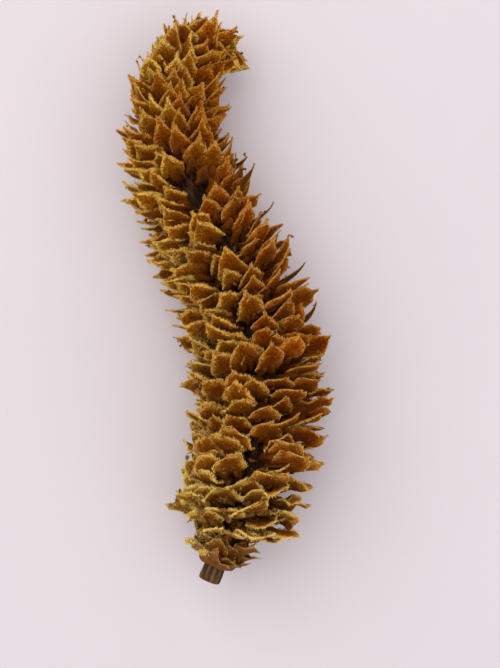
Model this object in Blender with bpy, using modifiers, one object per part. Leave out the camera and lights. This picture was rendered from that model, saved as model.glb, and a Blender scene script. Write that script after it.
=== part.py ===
"""Cedar pollen cone, picked from its twig and lying on its side.

Run with: blender --background --python part.py

The cone is an S-curved stem with about two hundred and forty pollen scales in one spiral. Each
leaves the stem as a narrow stalk, widens to its shoulders and bends up into a pointed blade.
Around the stalk end sits a separate cup of papery bud scales. The row frame is +Z up, +Y from
the stalk end to the tip, with its origin under the middle of the cone, on the surface it lies on.
"""

import math

import bmesh
import bpy
import numpy as np
from mathutils import Vector

MM = 0.001

# The stem's middle line in millimetres, from the cut stalk end to the tip: x, y and height.
STEM_LINE = (
    (-1.8, -32.65, 6.7),
    (0.5, -26.65, 7.1),
    (2.7, -19.65, 7.5),
    (3.9, -12.15, 7.6),
    (3.3, -4.65, 7.5),
    (0.3, 3.65, 7.3),
    (-3.5, 10.85, 7.0),
    (-5.7, 17.75, 6.7),
    (-5.4, 22.95, 6.4),
    (-4.6, 25.95, 6.4),
    (-3.2, 28.25, 6.5),
    (-2.0, 27.95, 6.5),
)
CURVE_STEPS = 40
# The stem's direction is read over this distance to both sides.
DIRECTION_STEP_MM = 0.2

# Shares of the way from the lowest scale to the tip, at which the measures below are given.
STATIONS = (0.0, 0.12, 0.3, 0.5, 0.7, 0.85, 0.94, 1.0)
STEM_RADIUS_MM = (1.9, 2.5, 2.7, 2.7, 2.5, 2.0, 1.5, 0.6)
SCALE_WIDTH_MM = (4.0, 4.3, 4.0, 3.7, 3.2, 2.8, 2.4, 1.7)
TIP_SHARE = (0.50, 0.46, 0.42, 0.34, 0.22, 0.18, 0.16, 0.16)
STALK_LENGTH_MM = (2.8, 3.3, 3.6, 3.5, 3.4, 3.0, 2.8, 2.0)
BLADE_LENGTH_MM = (3.0, 3.4, 3.4, 3.3, 3.3, 3.2, 3.1, 2.8)
STALK_RISE_DEG = (-2.0, 3.0, 8.0, 12.0, 20.0, 31.0, 43.0, 76.0)
BLADE_RISE_DEG = (10.0, 26.0, 38.0, 41.0, 48.0, 56.0, 62.0, 84.0)
SCALE_SPACING_MM = (0.30, 0.285, 0.275, 0.265, 0.235, 0.205, 0.185, 0.17)

GOLDEN_ANGLE = math.radians(137.508)
FIRST_SCALE_MM = 6.2
LAST_SCALE_MM = 0.4
ROOT_DEPTH_MM = 0.9
ROOT_WIDTH_MM = 0.9
SCALE_THICKNESS_MM = 0.6
FLOOR_PRESS_MM = 0.25
REACH_WOBBLE = 0.07
RISE_WOBBLE_DEG = 6.0
WIDTH_WOBBLE = 0.10
TURN_WOBBLE_DEG = 5.0
# The sine of these steps, made this large, has decimals that look random.
WOBBLE_INDEX_STEP = 12.9898
WOBBLE_CHANNEL_STEP = 78.233
WOBBLE_GAIN = 43758.5453

# The bare stalk under the scales and the cup of bud scales round it.
STALK_RADIUS_MM = 1.25
STEM_LEAD_MM = 0.9
STEM_RINGS = 26
CUP_GAP_MM = 0.3
CUP_WALL_MM = 0.9
CUP_START_MM = 2.0
CUP_HEIGHT_MM = 1.7
CUP_CLEARANCE_MM = 0.5
HOLE_LENGTH_MM = 4.0 * CUP_HEIGHT_MM
BUD_SCALE_COUNTS = (7, 8)
BUD_SCALE_REACH_MM = (4.3, 3.8)
BUD_SCALE_WIDTH_MM = 2.5
BUD_SCALE_RISE_DEG = (20.0, -6.0)
BUD_SCALE_HEIGHTS = (0.72, 0.26)
BUD_RISE_WOBBLE_DEG = 4.0
BUD_WIDTH_SHARES = (0.6, 1.0, 0.55)
BUD_SHOULDER_SHARE = 0.7
BUD_SEEDS = (1000, 1100)
CUP_SIDES = 16
TABLE_SIDE_MM = 200.0

SCALE_COLOUR = (0.42, 0.21, 0.045, 1.0)
BUD_COLOUR = (0.36, 0.22, 0.09, 1.0)


def clear_scene():
    """Removes every object of the startup scene."""
    for obj in list(bpy.data.objects):
        bpy.data.objects.remove(obj)


def new_collection(name):
    """A collection linked to the scene."""
    made = bpy.data.collections.new(name)
    bpy.context.scene.collection.children.link(made)
    return made


def dry_material(name, colour, roughness):
    """A plain rough material of one colour."""
    material = bpy.data.materials.new(name)
    material.use_nodes = True
    shader = material.node_tree.nodes["Principled BSDF"]
    shader.inputs["Base Color"].default_value = colour
    shader.inputs["Roughness"].default_value = roughness
    shader.inputs["Metallic"].default_value = 0.0
    material.diffuse_color = colour
    return material


def wobble(index, channel):
    """A number from -1 to 1 that looks random and is always the same for one scale."""
    value = math.sin(index * WOBBLE_INDEX_STEP + channel * WOBBLE_CHANNEL_STEP) * WOBBLE_GAIN
    return 2.0 * (value - math.floor(value)) - 1.0


class StemLine:
    """The smooth curve through STEM_LINE, read by the distance walked along it."""

    def __init__(self, points):
        points = np.array(points, float)
        chord = np.linalg.norm(np.diff(points, axis=0), axis=1)
        knots = np.concatenate([[0.0], np.cumsum(chord)])
        slopes = np.gradient(points, knots, axis=0)
        walk = np.linspace(0.0, knots[-1], CURVE_STEPS * len(points))
        span = np.clip(np.searchsorted(knots, walk, "right") - 1, 0, len(points) - 2)
        width = (knots[span + 1] - knots[span])[:, None]
        t = (walk - knots[span])[:, None] / width
        self.points = (
            (2 * t**3 - 3 * t**2 + 1) * points[span]
            + (t**3 - 2 * t**2 + t) * width * slopes[span]
            + (3 * t**2 - 2 * t**3) * points[span + 1]
            + (t**3 - t**2) * width * slopes[span + 1]
        )
        steps = np.linalg.norm(np.diff(self.points, axis=0), axis=1)
        self.walked = np.concatenate([[0.0], np.cumsum(steps)])
        self.length = self.walked[-1]

    def at(self, distance):
        """The point that lies this far along the line."""
        return np.array([np.interp(distance, self.walked, self.points[:, k]) for k in range(3)])

    def frame(self, distance):
        """Point, forward direction, upward direction and sideways direction."""
        ahead = self.at(min(distance + DIRECTION_STEP_MM, self.length))
        forward = ahead - self.at(max(distance - DIRECTION_STEP_MM, 0.0))
        forward /= np.linalg.norm(forward)
        up = np.array([0.0, 0.0, 1.0]) - forward[2] * forward
        up /= np.linalg.norm(up)
        return self.at(distance), forward, up, np.cross(forward, up)


def along(share, values):
    """Reads a measure given at STATIONS, at this share of the way to the tip."""
    return float(np.interp(share, STATIONS, values))


def scale_places(line):
    """Index, distance along the stem and share of the way to the tip, for each pollen scale."""
    run = line.length - LAST_SCALE_MM - FIRST_SCALE_MM
    places = []
    distance = FIRST_SCALE_MM
    while distance < FIRST_SCALE_MM + run:
        share = (distance - FIRST_SCALE_MM) / run
        places.append((len(places), distance, share))
        distance += along(share, SCALE_SPACING_MM)
    return places


def scale_corners(line, index, distance, share):
    """The six corners of one scale's middle surface: left and right at root, shoulder and tip."""
    centre, forward, up, side = line.frame(distance)
    turn = index * GOLDEN_ANGLE + math.radians(TURN_WOBBLE_DEG) * wobble(index, 1)
    outward = math.cos(turn) * up + math.sin(turn) * side
    across = np.cross(forward, outward)

    stalk_rise = math.radians(along(share, STALK_RISE_DEG) + 0.5 * RISE_WOBBLE_DEG * wobble(index, 2))
    blade_rise = math.radians(along(share, BLADE_RISE_DEG) + RISE_WOBBLE_DEG * wobble(index, 3))
    size = 1.0 + REACH_WOBBLE * wobble(index, 4)
    stalk = size * along(share, STALK_LENGTH_MM)
    blade = size * along(share, BLADE_LENGTH_MM)
    root = along(share, STEM_RADIUS_MM) - ROOT_DEPTH_MM
    reach = root + stalk * math.cos(stalk_rise) + blade * math.cos(blade_rise)
    if outward[2] < 0.0:
        room = (centre[2] + FLOOR_PRESS_MM) / -outward[2]
        stalk -= max(0.0, reach - room) / math.cos(stalk_rise)

    root_point = centre + root * outward
    shoulder_point = root_point + stalk * (math.cos(stalk_rise) * outward + math.sin(stalk_rise) * forward)
    tip_point = shoulder_point + blade * (math.cos(blade_rise) * outward + math.sin(blade_rise) * forward)
    width = along(share, SCALE_WIDTH_MM) * (1.0 + WIDTH_WOBBLE * wobble(index, 5))
    halves = (0.5 * ROOT_WIDTH_MM, 0.5 * width, 0.5 * width * along(share, TIP_SHARE))
    corners = []
    for point, half in zip((root_point, shoulder_point, tip_point), halves):
        corners.append(point - half * across)
        corners.append(point + half * across)
    return corners


def plate_from_corners(name, corners, collection):
    """An open strip of two quads, thickened evenly to both sides by a Solidify modifier."""
    mesh = bpy.data.meshes.new(name)
    mesh.from_pydata([tuple(c * MM) for c in corners], [], [(0, 1, 3, 2), (2, 3, 5, 4)])
    obj = bpy.data.objects.new(name, mesh)
    collection.objects.link(obj)
    obj.hide_render = True
    obj.display_type = "WIRE"
    solidify = obj.modifiers.new("thickness", "SOLIDIFY")
    solidify.thickness = SCALE_THICKNESS_MM * MM
    solidify.offset = 0.0
    return obj


def tapered_tube(name, points, radii, collection):
    """A closed tube along the points, as a mesh: a curve's caps are welded on."""
    curve = bpy.data.curves.new(name, "CURVE")
    curve.dimensions = "3D"
    curve.bevel_depth = MM
    curve.bevel_resolution = 2
    curve.use_fill_caps = True
    spline = curve.splines.new("POLY")
    spline.points.add(len(points) - 1)
    for slot, point, radius in zip(spline.points, points, radii):
        slot.co = (*(point * MM), 1.0)
        slot.radius = radius
    guide = bpy.data.objects.new(name + "_curve", curve)
    collection.objects.link(guide)
    graph = bpy.context.evaluated_depsgraph_get()
    mesh = bpy.data.meshes.new_from_object(guide.evaluated_get(graph))
    bpy.data.objects.remove(guide)
    weld(mesh)
    obj = bpy.data.objects.new(name, mesh)
    collection.objects.link(obj)
    return obj


def weld(mesh):
    """Joins points that lie within a thousandth of a millimetre of each other."""
    work = bmesh.new()
    work.from_mesh(mesh)
    bmesh.ops.remove_doubles(work, verts=work.verts, dist=0.001 * MM)
    bmesh.ops.recalc_face_normals(work, faces=work.faces)
    work.to_mesh(mesh)
    work.free()


def stem(line, collection):
    """The bare stalk and the stem in one tube: thin in the cup, thick among the scales, thin at the tip."""
    bare = [0.0, CUP_START_MM, CUP_START_MM + CUP_HEIGHT_MM + CUP_CLEARANCE_MM]
    covered = list(np.linspace(FIRST_SCALE_MM - STEM_LEAD_MM, line.length, STEM_RINGS))
    run = line.length - FIRST_SCALE_MM
    radii = [STALK_RADIUS_MM] * len(bare)
    radii += [along((stop - FIRST_SCALE_MM) / run, STEM_RADIUS_MM) for stop in covered]
    return tapered_tube("pollen_cone", [line.at(stop) for stop in bare + covered], radii, collection)


def fuse(body, repeats, cutter):
    """Unites the body with all the repeats, cuts it with the cutter and removes what it used."""
    union = body.modifiers.new("union", "BOOLEAN")
    union.operation = "UNION"
    union.solver = "MANIFOLD"
    union.operand_type = "COLLECTION"
    union.collection = repeats
    cut = body.modifiers.new("cut", "BOOLEAN")
    cut.operation = "DIFFERENCE"
    cut.solver = "MANIFOLD"
    cut.object = cutter
    graph = bpy.context.evaluated_depsgraph_get()
    mesh = bpy.data.meshes.new_from_object(body.evaluated_get(graph))
    body.modifiers.clear()
    keep_outer_shell(mesh)
    body.data = mesh
    used = [*repeats.objects, cutter]
    for obj in used:
        bpy.data.objects.remove(obj)
    bpy.data.collections.remove(repeats)


def islands(work):
    """The connected shells of a mesh, each as a list of faces."""
    unseen = set(work.faces)
    found = []
    while unseen:
        waiting = [unseen.pop()]
        shell = []
        while waiting:
            face = waiting.pop()
            shell.append(face)
            for edge in face.edges:
                for other in edge.link_faces:
                    if other in unseen:
                        unseen.remove(other)
                        waiting.append(other)
        found.append(shell)
    return found


def signed_volume(shell):
    """The volume a shell encloses, which is negative where its faces point inwards, as round a hollow."""
    total = 0.0
    for face in shell:
        first, *rest = [vert.co for vert in face.verts]
        for second, third in zip(rest, rest[1:]):
            total += first.dot(second.cross(third)) / 6.0
    return total


def keep_outer_shell(mesh):
    """Fills sealed hollows and drops loose scraps: only the shell with the largest volume stays."""
    work = bmesh.new()
    work.from_mesh(mesh)
    shells = sorted(islands(work), key=signed_volume)
    spare = [face for shell in shells[:-1] for face in shell]
    bmesh.ops.delete(work, geom=spare, context="FACES")
    work.to_mesh(mesh)
    work.free()


def turned_to(obj, direction):
    """Turns the object's own Z axis to point along the direction."""
    obj.rotation_mode = "QUATERNION"
    obj.rotation_quaternion = Vector(direction).to_track_quat("Z", "Y")


def round_bar(name, centre, direction, radius, length, collection):
    """A closed cylinder of the bud-scale cup, about its own middle."""
    mesh = bpy.data.meshes.new(name)
    work = bmesh.new()
    bmesh.ops.create_cone(
        work,
        cap_ends=True,
        segments=CUP_SIDES,
        radius1=radius * MM,
        radius2=radius * MM,
        depth=length * MM,
    )
    work.to_mesh(mesh)
    work.free()
    obj = bpy.data.objects.new(name, mesh)
    collection.objects.link(obj)
    obj.location = centre * MM
    turned_to(obj, direction)
    return obj


def as_cutter(obj):
    """Marks an object that only cuts."""
    obj.hide_render = True
    obj.display_type = "WIRE"
    return obj


def table_cutter(collection):
    """A block under the surface that the cone lies on: it leaves small flat spots on the lowest scales."""
    mesh = bpy.data.meshes.new("table")
    work = bmesh.new()
    bmesh.ops.create_cube(work, size=TABLE_SIDE_MM * MM)
    work.to_mesh(mesh)
    work.free()
    obj = bpy.data.objects.new("table", mesh)
    collection.objects.link(obj)
    obj.location = (0.0, 0.0, -0.5 * TABLE_SIDE_MM * MM)
    return as_cutter(obj)


def bud_scale_corners(line, whorl, place):
    """The six corners of one bud scale, rooted in the cup's wall: broad, short and blunt."""
    start = CUP_START_MM + CUP_HEIGHT_MM * BUD_SCALE_HEIGHTS[whorl]
    centre, forward, up, side = line.frame(start)
    turn = 2.0 * math.pi * (place + 0.5 * whorl) / BUD_SCALE_COUNTS[whorl]
    outward = math.cos(turn) * up + math.sin(turn) * side
    across = np.cross(forward, outward)
    seed = BUD_SEEDS[whorl] + place
    rise = math.radians(BUD_SCALE_RISE_DEG[whorl] + BUD_RISE_WOBBLE_DEG * wobble(seed, 1))
    reach = BUD_SCALE_REACH_MM[whorl] * (1.0 + REACH_WOBBLE * wobble(seed, 2))
    root = STALK_RADIUS_MM + CUP_GAP_MM + 0.5 * CUP_WALL_MM
    way = math.cos(rise) * outward + math.sin(rise) * forward
    length = (reach - root) / math.cos(rise)
    corners = []
    for gone, width_share in zip((0.0, BUD_SHOULDER_SHARE, 1.0), BUD_WIDTH_SHARES):
        point = centre + root * outward + gone * length * way
        half = 0.5 * width_share * BUD_SCALE_WIDTH_MM
        corners.append(point - half * across)
        corners.append(point + half * across)
    return corners


def bud_scale_cup(line, collection, cutters):
    """A ring round the stalk with two whorls of bud scales, and a plain hole that the stalk stands in."""
    middle = CUP_START_MM + 0.5 * CUP_HEIGHT_MM
    centre, forward, _, _ = line.frame(middle)
    hole_radius = STALK_RADIUS_MM + CUP_GAP_MM
    ring = round_bar("bud_scale_cup", centre, forward, hole_radius + CUP_WALL_MM, CUP_HEIGHT_MM, collection)
    hole = round_bar("stalk_hole", centre, forward, hole_radius, HOLE_LENGTH_MM, cutters)
    bracts = new_collection("bud_scales")
    for whorl, count in enumerate(BUD_SCALE_COUNTS):
        for place in range(count):
            corners = bud_scale_corners(line, whorl, place)
            plate_from_corners(f"bud_scale_{whorl}_{place}", corners, bracts)
    fuse(ring, bracts, as_cutter(hole))
    ring.data.materials.append(dry_material("papery_bud_scale", BUD_COLOUR, 0.85))
    return ring


def pollen_cone(line, collection, cutters):
    """The stalk, the stem and every pollen scale in one body."""
    body = stem(line, collection)
    scales = new_collection("scales")
    for index, distance, share in scale_places(line):
        corners = scale_corners(line, index, distance, share)
        plate_from_corners(f"scale_{index}", corners, scales)
    fuse(body, scales, table_cutter(cutters))
    body.data.materials.append(dry_material("dry_pollen_scale", SCALE_COLOUR, 0.8))
    return body


def main():
    clear_scene()
    cone = new_collection("cedar_cone")
    cutters = new_collection("cutters")
    cutters.hide_render = True
    line = StemLine(STEM_LINE)
    pollen_cone(line, cone, cutters)
    bud_scale_cup(line, cone, cutters)
    bpy.data.collections.remove(cutters)


main()
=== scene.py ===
"""Looks of the cedar pollen cone: dry fringed scales on a dark furrowed stem, papery bud scales at its foot.

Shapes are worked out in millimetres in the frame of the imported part: +Y from the stalk end to the
tip, +Z up, with the cone lying on z = 0. A piece of many copies is one array of points, whose
first index counts the copies, the second runs along a copy and the third round its section.
"""

import math

import bpy
import numpy as np
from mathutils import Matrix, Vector


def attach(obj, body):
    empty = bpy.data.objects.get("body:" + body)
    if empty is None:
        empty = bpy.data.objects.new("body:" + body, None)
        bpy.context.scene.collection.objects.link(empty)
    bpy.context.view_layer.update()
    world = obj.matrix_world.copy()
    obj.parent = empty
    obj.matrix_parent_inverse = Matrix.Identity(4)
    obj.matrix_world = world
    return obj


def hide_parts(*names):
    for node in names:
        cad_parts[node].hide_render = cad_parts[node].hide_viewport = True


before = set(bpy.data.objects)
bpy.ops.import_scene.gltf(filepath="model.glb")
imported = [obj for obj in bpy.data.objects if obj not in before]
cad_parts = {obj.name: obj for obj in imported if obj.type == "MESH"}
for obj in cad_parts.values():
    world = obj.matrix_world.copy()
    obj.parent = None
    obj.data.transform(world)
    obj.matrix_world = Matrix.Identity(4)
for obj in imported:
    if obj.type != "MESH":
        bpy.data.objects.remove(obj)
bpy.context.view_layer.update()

MM = 0.001
SEED = 20
BODY = "root"

# The stem's middle line in millimetres, from the cut stalk end to the tip, as in the part.
STEM_LINE = (
    (-1.8, -32.65, 6.7),
    (0.5, -26.65, 7.1),
    (2.7, -19.65, 7.5),
    (3.9, -12.15, 7.6),
    (3.3, -4.65, 7.5),
    (0.3, 3.65, 7.3),
    (-3.5, 10.85, 7.0),
    (-5.7, 17.75, 6.7),
    (-5.4, 22.95, 6.4),
    (-4.6, 25.95, 6.4),
    (-3.2, 28.25, 6.5),
    (-2.0, 27.95, 6.5),
)
CURVE_STEPS = 60
DIRECTION_STEP_MM = 0.2

# Shares of the way from the lowest scale to the tip, at which the measures below are given.
STATIONS = (0.0, 0.12, 0.3, 0.5, 0.7, 0.85, 0.94, 1.0)
STEM_RADIUS_MM = (1.9, 2.5, 2.7, 2.7, 2.5, 2.0, 1.5, 0.6)
SCALE_SPACING_MM = (0.165, 0.142, 0.128, 0.124, 0.112, 0.098, 0.115, 0.19)
SCALE_WIDTH_MM = (4.4, 3.85, 3.45, 3.15, 2.75, 2.65, 3.0, 3.3)
STALK_LENGTH_MM = (2.9, 3.5, 3.85, 3.75, 3.7, 3.2, 3.1, 2.4)
BLADE_LENGTH_MM = (2.9, 2.9, 2.7, 2.65, 2.45, 2.4, 2.7, 2.8)
STALK_RISE_DEG = (-2.0, 3.0, 8.0, 12.0, 20.0, 31.0, 43.0, 76.0)
BLADE_RISE_DEG = (20.0, 36.0, 44.0, 46.0, 49.0, 56.0, 62.0, 80.0)
TIP_CURL_DEG = (0.0, 4.0, 8.0, 10.0, 12.0, 12.0, 8.0, 0.0)
HALF_THICKNESS_MM = (0.18, 0.15, 0.125, 0.115, 0.10, 0.09, 0.08, 0.07)
# How much less the blades rise on the flanks than on the upper side, and how far they lean to the tip there.
FLANK_DROP_DEG = (6.0, 16.0, 19.0, 19.0, 14.0, 8.0, 4.0, 0.0)
FLANK_TWIST_DEG = (14.0, 24.0, 30.0, 32.0, 28.0, 20.0, 12.0, 0.0)
# How far the lowest blades are turned to lie square to +Y.
FOOT_TWIST_DEG = (26.0, 18.0, 6.0, 0.0, 0.0, 0.0, 0.0, 0.0)
# How blunt a blade ends: a high power keeps it wide for long, a low softness rounds its end.
TAPER_POWER = (3.0, 2.7, 2.3, 2.1, 1.8, 1.6, 1.7, 2.0)
TAPER_SOFTNESS = (0.45, 0.5, 0.58, 0.62, 0.74, 0.88, 0.85, 0.75)
# How long the thin point is that a blade ends in, as a share of the way from shoulder to tip.
POINT_SHARE = (0.0, 0.04, 0.12, 0.18, 0.26, 0.28, 0.24, 0.15)
# How far the margins and the end stray, as a share of the half width.
RAGGED_SHARE = (0.20, 0.17, 0.15, 0.15, 0.15, 0.17, 0.20, 0.20)
LOBE_SHARE = (0.20, 0.16, 0.12, 0.11, 0.11, 0.12, 0.18, 0.22)
# How pale the rims and fringes are, partly their own colour and partly painted highlight, and how much
# darker and redder the blades are.
RIM_PALENESS_AND_HIGHLIGHT = (0.9, 0.42, 0.45, 0.72, 0.42, 0.30, 0.55, 0.85)
LOW_TINT = (0.3, 1.1, 1.2, 0.8, 0.35, 0.1, 0.0, 0.0)

# The spiral: where it starts, and how far from the tip it ends.
GOLDEN_ANGLE = math.radians(137.508)
FIRST_SCALE_MM = 6.2
LAST_SCALE_MM = 0.4
SPIRAL_SAMPLES = 2001

FLOOR_SOFTNESS_MM = 0.35
FLOOR_PRESS_MM = 0.25
HAIR_CLEARANCE_MM = 0.02

# Places on the upper side where scales are parted and the stem shows: across, along and radius.
GAPS_MM = (
    (-3.9, 12.2, 2.9),
    (0.4, 6.3, 1.9),
    (-1.3, 3.0, 1.2),
    (3.1, -3.9, 1.7),
    (3.6, -8.2, 1.2),
    (5.1, -9.5, 0.9),
    (4.0, -14.5, 1.0),
    (3.8, -17.9, 0.9),
    (2.6, -19.6, 1.0),
)
GAP_PUSH_MM = 1.3
LOST_SHARE = 0.58

# Places where a scale is furled to a dark horn: across and along.
FURLED_PLACES_MM = ((2.2, 15.6), (1.4, 14.2), (3.3, 13.2), (5.0, 10.8), (8.9, 4.4), (9.3, -2.4))
FURLED_REACH_MM = 0.7

# Places where one scale is longer or shorter than its neighbours: across, along, height and factor.
LONG_PLACES_MM = (
    (-7.1, 30.2, 8.3, 0.8),
    (-9.1, 27.7, 8.4, 0.7),
    (-2.0, 27.7, 10.7, 1.35),
    (-3.0, 28.8, 10.1, 1.25),
    (0.4, 27.0, 7.4, 1.15),
    (-0.1, 30.3, 8.4, 0.6),
    (10.9, -10.4, 8.1, 0.84),
)

# Compact clumps of spent pollen on the upper side: across, along and radius.
CRUMB_CLUMPS_MM = (
    (-5.4, 4.6, 0.8),
    (-2.5, -4.9, 0.8),
    (-3.1, -8.7, 0.8),
    (-5.0, -25.0, 1.3),
    (-4.2, -27.2, 1.3),
    (-3.2, -23.2, 1.0),
    (0.9, -25.8, 0.8),
    (5.6, -4.2, 0.5),
    (3.4, -27.0, 0.7),
    (-2.8, -29.3, 1.0),
)
CLUMP_FLOOR_MM = 7.0

# Places where the cone is worn down to pale torn tissue and crumbs: across, along, height and radius.
WORN_PLACES_MM = (
    (-4.4, -25.0, 9.0, 3.4),
    (-4.6, -21.0, 8.0, 3.0),
    (-2.6, -27.2, 10.0, 2.6),
    (-3.2, -11.0, 9.0, 2.6),
    (-3.0, -6.0, 9.5, 2.2),
    (-3.6, -15.8, 8.5, 2.4),
    (-5.3, 4.4, 10.5, 1.6),
    (1.6, -23.4, 12.0, 2.6),
    (6.4, -24.5, 11.0, 2.2),
    (9.6, -9.0, 8.0, 1.8),
)
# The lowest share of the scales is worn pale all round, by up to this much.
WORN_FOOT_SHARE = 0.2
WORN_FOOT = 0.7


def soft_step(x):
    """A smooth step from 0 at x = 0 to 1 at x = 1: three x squared minus two x cubed."""
    x = np.clip(x, 0.0, 1.0)
    return x * x * (3.0 - 2.0 * x)


def unit(vectors):
    """The vectors, each divided by its own length."""
    return vectors / np.linalg.norm(vectors, axis=-1, keepdims=True)


def above_floor(height):
    """The height bent smoothly so that it stays over the floor: half of z plus the root of z squared
    plus c squared, less a tenth of c."""
    return 0.5 * (height + np.sqrt(height**2 + FLOOR_SOFTNESS_MM**2)) - 0.1 * FLOOR_SOFTNESS_MM


def circle(count):
    """The angles of count even steps round a circle."""
    return 2.0 * math.pi * np.arange(count) / count


def spoke(turn, up, side):
    """The direction that stands off the stem at this turn: up by its cosine plus side by its sine."""
    return np.cos(turn)[..., None] * up + np.sin(turn)[..., None] * side


class StemLine:
    """The smooth curve through STEM_LINE, read by the distance walked along it."""

    def __init__(self, points):
        points = np.array(points, float)
        chord = np.linalg.norm(np.diff(points, axis=0), axis=1)
        knots = np.concatenate([[0.0], np.cumsum(chord)])
        slopes = np.gradient(points, knots, axis=0)
        walk = np.linspace(0.0, knots[-1], CURVE_STEPS * len(points))
        span = np.clip(np.searchsorted(knots, walk, "right") - 1, 0, len(points) - 2)
        width = (knots[span + 1] - knots[span])[:, None]
        t = (walk - knots[span])[:, None] / width
        self.points = (
            (2 * t**3 - 3 * t**2 + 1) * points[span]
            + (t**3 - 2 * t**2 + t) * width * slopes[span]
            + (3 * t**2 - 2 * t**3) * points[span + 1]
            + (t**3 - t**2) * width * slopes[span + 1]
        )
        steps = np.linalg.norm(np.diff(self.points, axis=0), axis=1)
        self.walked = np.concatenate([[0.0], np.cumsum(steps)])
        self.length = self.walked[-1]

    def at(self, distance):
        """The points that lie these distances along the line."""
        return np.stack([np.interp(distance, self.walked, self.points[:, k]) for k in range(3)], -1)

    def frame(self, distance):
        """Points, and the forward, upward and sideways directions there."""
        ahead = self.at(np.minimum(distance + DIRECTION_STEP_MM, self.length))
        forward = unit(ahead - self.at(np.maximum(distance - DIRECTION_STEP_MM, 0.0)))
        up = unit(np.array([0.0, 0.0, 1.0]) - forward[..., 2:] * forward)
        return self.at(distance), forward, up, np.cross(forward, up)

    def share(self, distance):
        """The share of the way from the lowest scale to the last one."""
        return (distance - FIRST_SCALE_MM) / (self.length - LAST_SCALE_MM - FIRST_SCALE_MM)


def at_stations(share, values):
    """A measure given at STATIONS, read at these shares of the way to the tip."""
    return np.interp(share, STATIONS, values)


def spiral(line):
    """Distance along the stem and share of the way of each scale: the running count of scales, which
    grows by one for each spacing walked, is read backwards at 0, 1, 2 and so on."""
    share = np.linspace(0.0, 1.0, SPIRAL_SAMPLES)
    run = line.length - LAST_SCALE_MM - FIRST_SCALE_MM
    rate = run / at_stations(share, SCALE_SPACING_MM)
    count = np.concatenate([[0.0], np.cumsum(0.5 * (rate[1:] + rate[:-1]) * np.diff(share))])
    found = np.interp(np.arange(int(count[-1]) + 1), count, share)
    return FIRST_SCALE_MM + run * found, found


def worn_share(points):
    """How worn a place is: the sum of bells, each the exponential of minus the squared distance to a
    worn place over its squared radius, and at most 1."""
    worn = np.zeros(points.shape[:-1])
    for x, y, z, radius in WORN_PLACES_MM:
        worn += np.exp(-(np.sum((points - (x, y, z)) ** 2, -1)) / radius**2)
    return np.minimum(worn, 1.0)


def clump_share(points):
    """How far a point is inside a crumb clump on the upper side: the largest bell of the distance seen
    from above."""
    inside = np.zeros(len(points))
    for x, y, radius in CRUMB_CLUMPS_MM:
        far = np.linalg.norm(points[:, :2] - (x, y), axis=1)
        inside = np.maximum(inside, np.exp(-((far / radius) ** 2)) * (points[:, 2] > CLUMP_FLOOR_MM))
    return inside


def tube_faces(copies, rings, around):
    """Faces of closed tubes: quads between neighbouring rings, and fans onto a middle point at both ends.
    A copy has rings times around points, then its two end points."""
    per_copy = rings * around + 2
    start = per_copy * np.arange(copies)[:, None, None]
    ring = around * np.arange(rings - 1)[None, :, None]
    here = np.arange(around)[None, None, :]
    after = (here + 1) % around
    corners = (start + ring + here, start + ring + around + here, start + ring + around + after,
               start + ring + after)
    quads = np.stack(corners, -1).reshape(-1, 4)
    first, last = start[..., 0] + rings * around, start[..., 0] + rings * around + 1
    here, after = here[0], after[0]
    low = np.broadcast_arrays(first, start[..., 0] + here, start[..., 0] + after)
    top = (rings - 1) * around
    high = np.broadcast_arrays(last, start[..., 0] + top + after, start[..., 0] + top + here)
    fans = np.concatenate([np.stack(low, -1).reshape(-1, 3), np.stack(high, -1).reshape(-1, 3)])
    return quads, fans


def with_ends(grid):
    """A (copies, rings, around, k) grid as a list of rows, with the mean of the first and of the last
    ring added to each copy."""
    copies, _, _, wide = grid.shape
    ends = np.stack([grid[:, 0].mean(1), grid[:, -1].mean(1)], 1)
    return np.concatenate([grid.reshape(copies, -1, wide), ends], 1).reshape(-1, wide)


SMOOTH_DEG = 60.0
NO_QUADS = np.empty((0, 4), int)
NO_TRIANGLES = np.empty((0, 3), int)


def mesh_object(name, points, quads, triangles, attributes, material, replaced):
    """A mesh piece from points in millimetres, faces and one value a point for each attribute. Edges
    sharper than SMOOTH_DEG stay sharp."""
    mesh = bpy.data.meshes.new(name)
    loops = np.concatenate([quads.ravel(), triangles.ravel()]).astype(np.int32)
    starts = np.concatenate([
        4 * np.arange(len(quads)), 4 * len(quads) + 3 * np.arange(len(triangles)),
    ]).astype(np.int32)
    mesh.vertices.add(len(points))
    mesh.loops.add(len(loops))
    mesh.polygons.add(len(starts))
    mesh.vertices.foreach_set("co", (points * MM).astype(np.float32).ravel())
    mesh.loops.foreach_set("vertex_index", loops)
    mesh.polygons.foreach_set("loop_start", starts)
    mesh.update(calc_edges=True)
    for key, values in attributes.items():
        made = mesh.attributes.new(key, "FLOAT", "POINT")
        made.data.foreach_set("value", np.broadcast_to(values, len(points)).astype(np.float32))
    mesh.shade_smooth()
    mesh.set_sharp_from_angle(angle=math.radians(SMOOTH_DEG))
    mesh.materials.append(material)
    obj = bpy.data.objects.new(name, mesh)
    bpy.context.scene.collection.objects.link(obj)
    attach(obj, BODY)
    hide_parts(replaced)


def tubes_object(name, grid, attributes, material, replaced="pollen_cone"):
    """Closed tubes as one piece: grid is (copies, rings, around, 3), each attribute has its first three
    sides or stretches to them."""
    copies, rings, around, _ = grid.shape
    quads, fans = tube_faces(copies, rings, around)
    columns = {
        key: with_ends(np.broadcast_to(value, grid.shape[:3])[..., None])[:, 0]
        for key, value in attributes.items()
    }
    mesh_object(name, with_ends(grid), quads, fans, columns, material, replaced)


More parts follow.
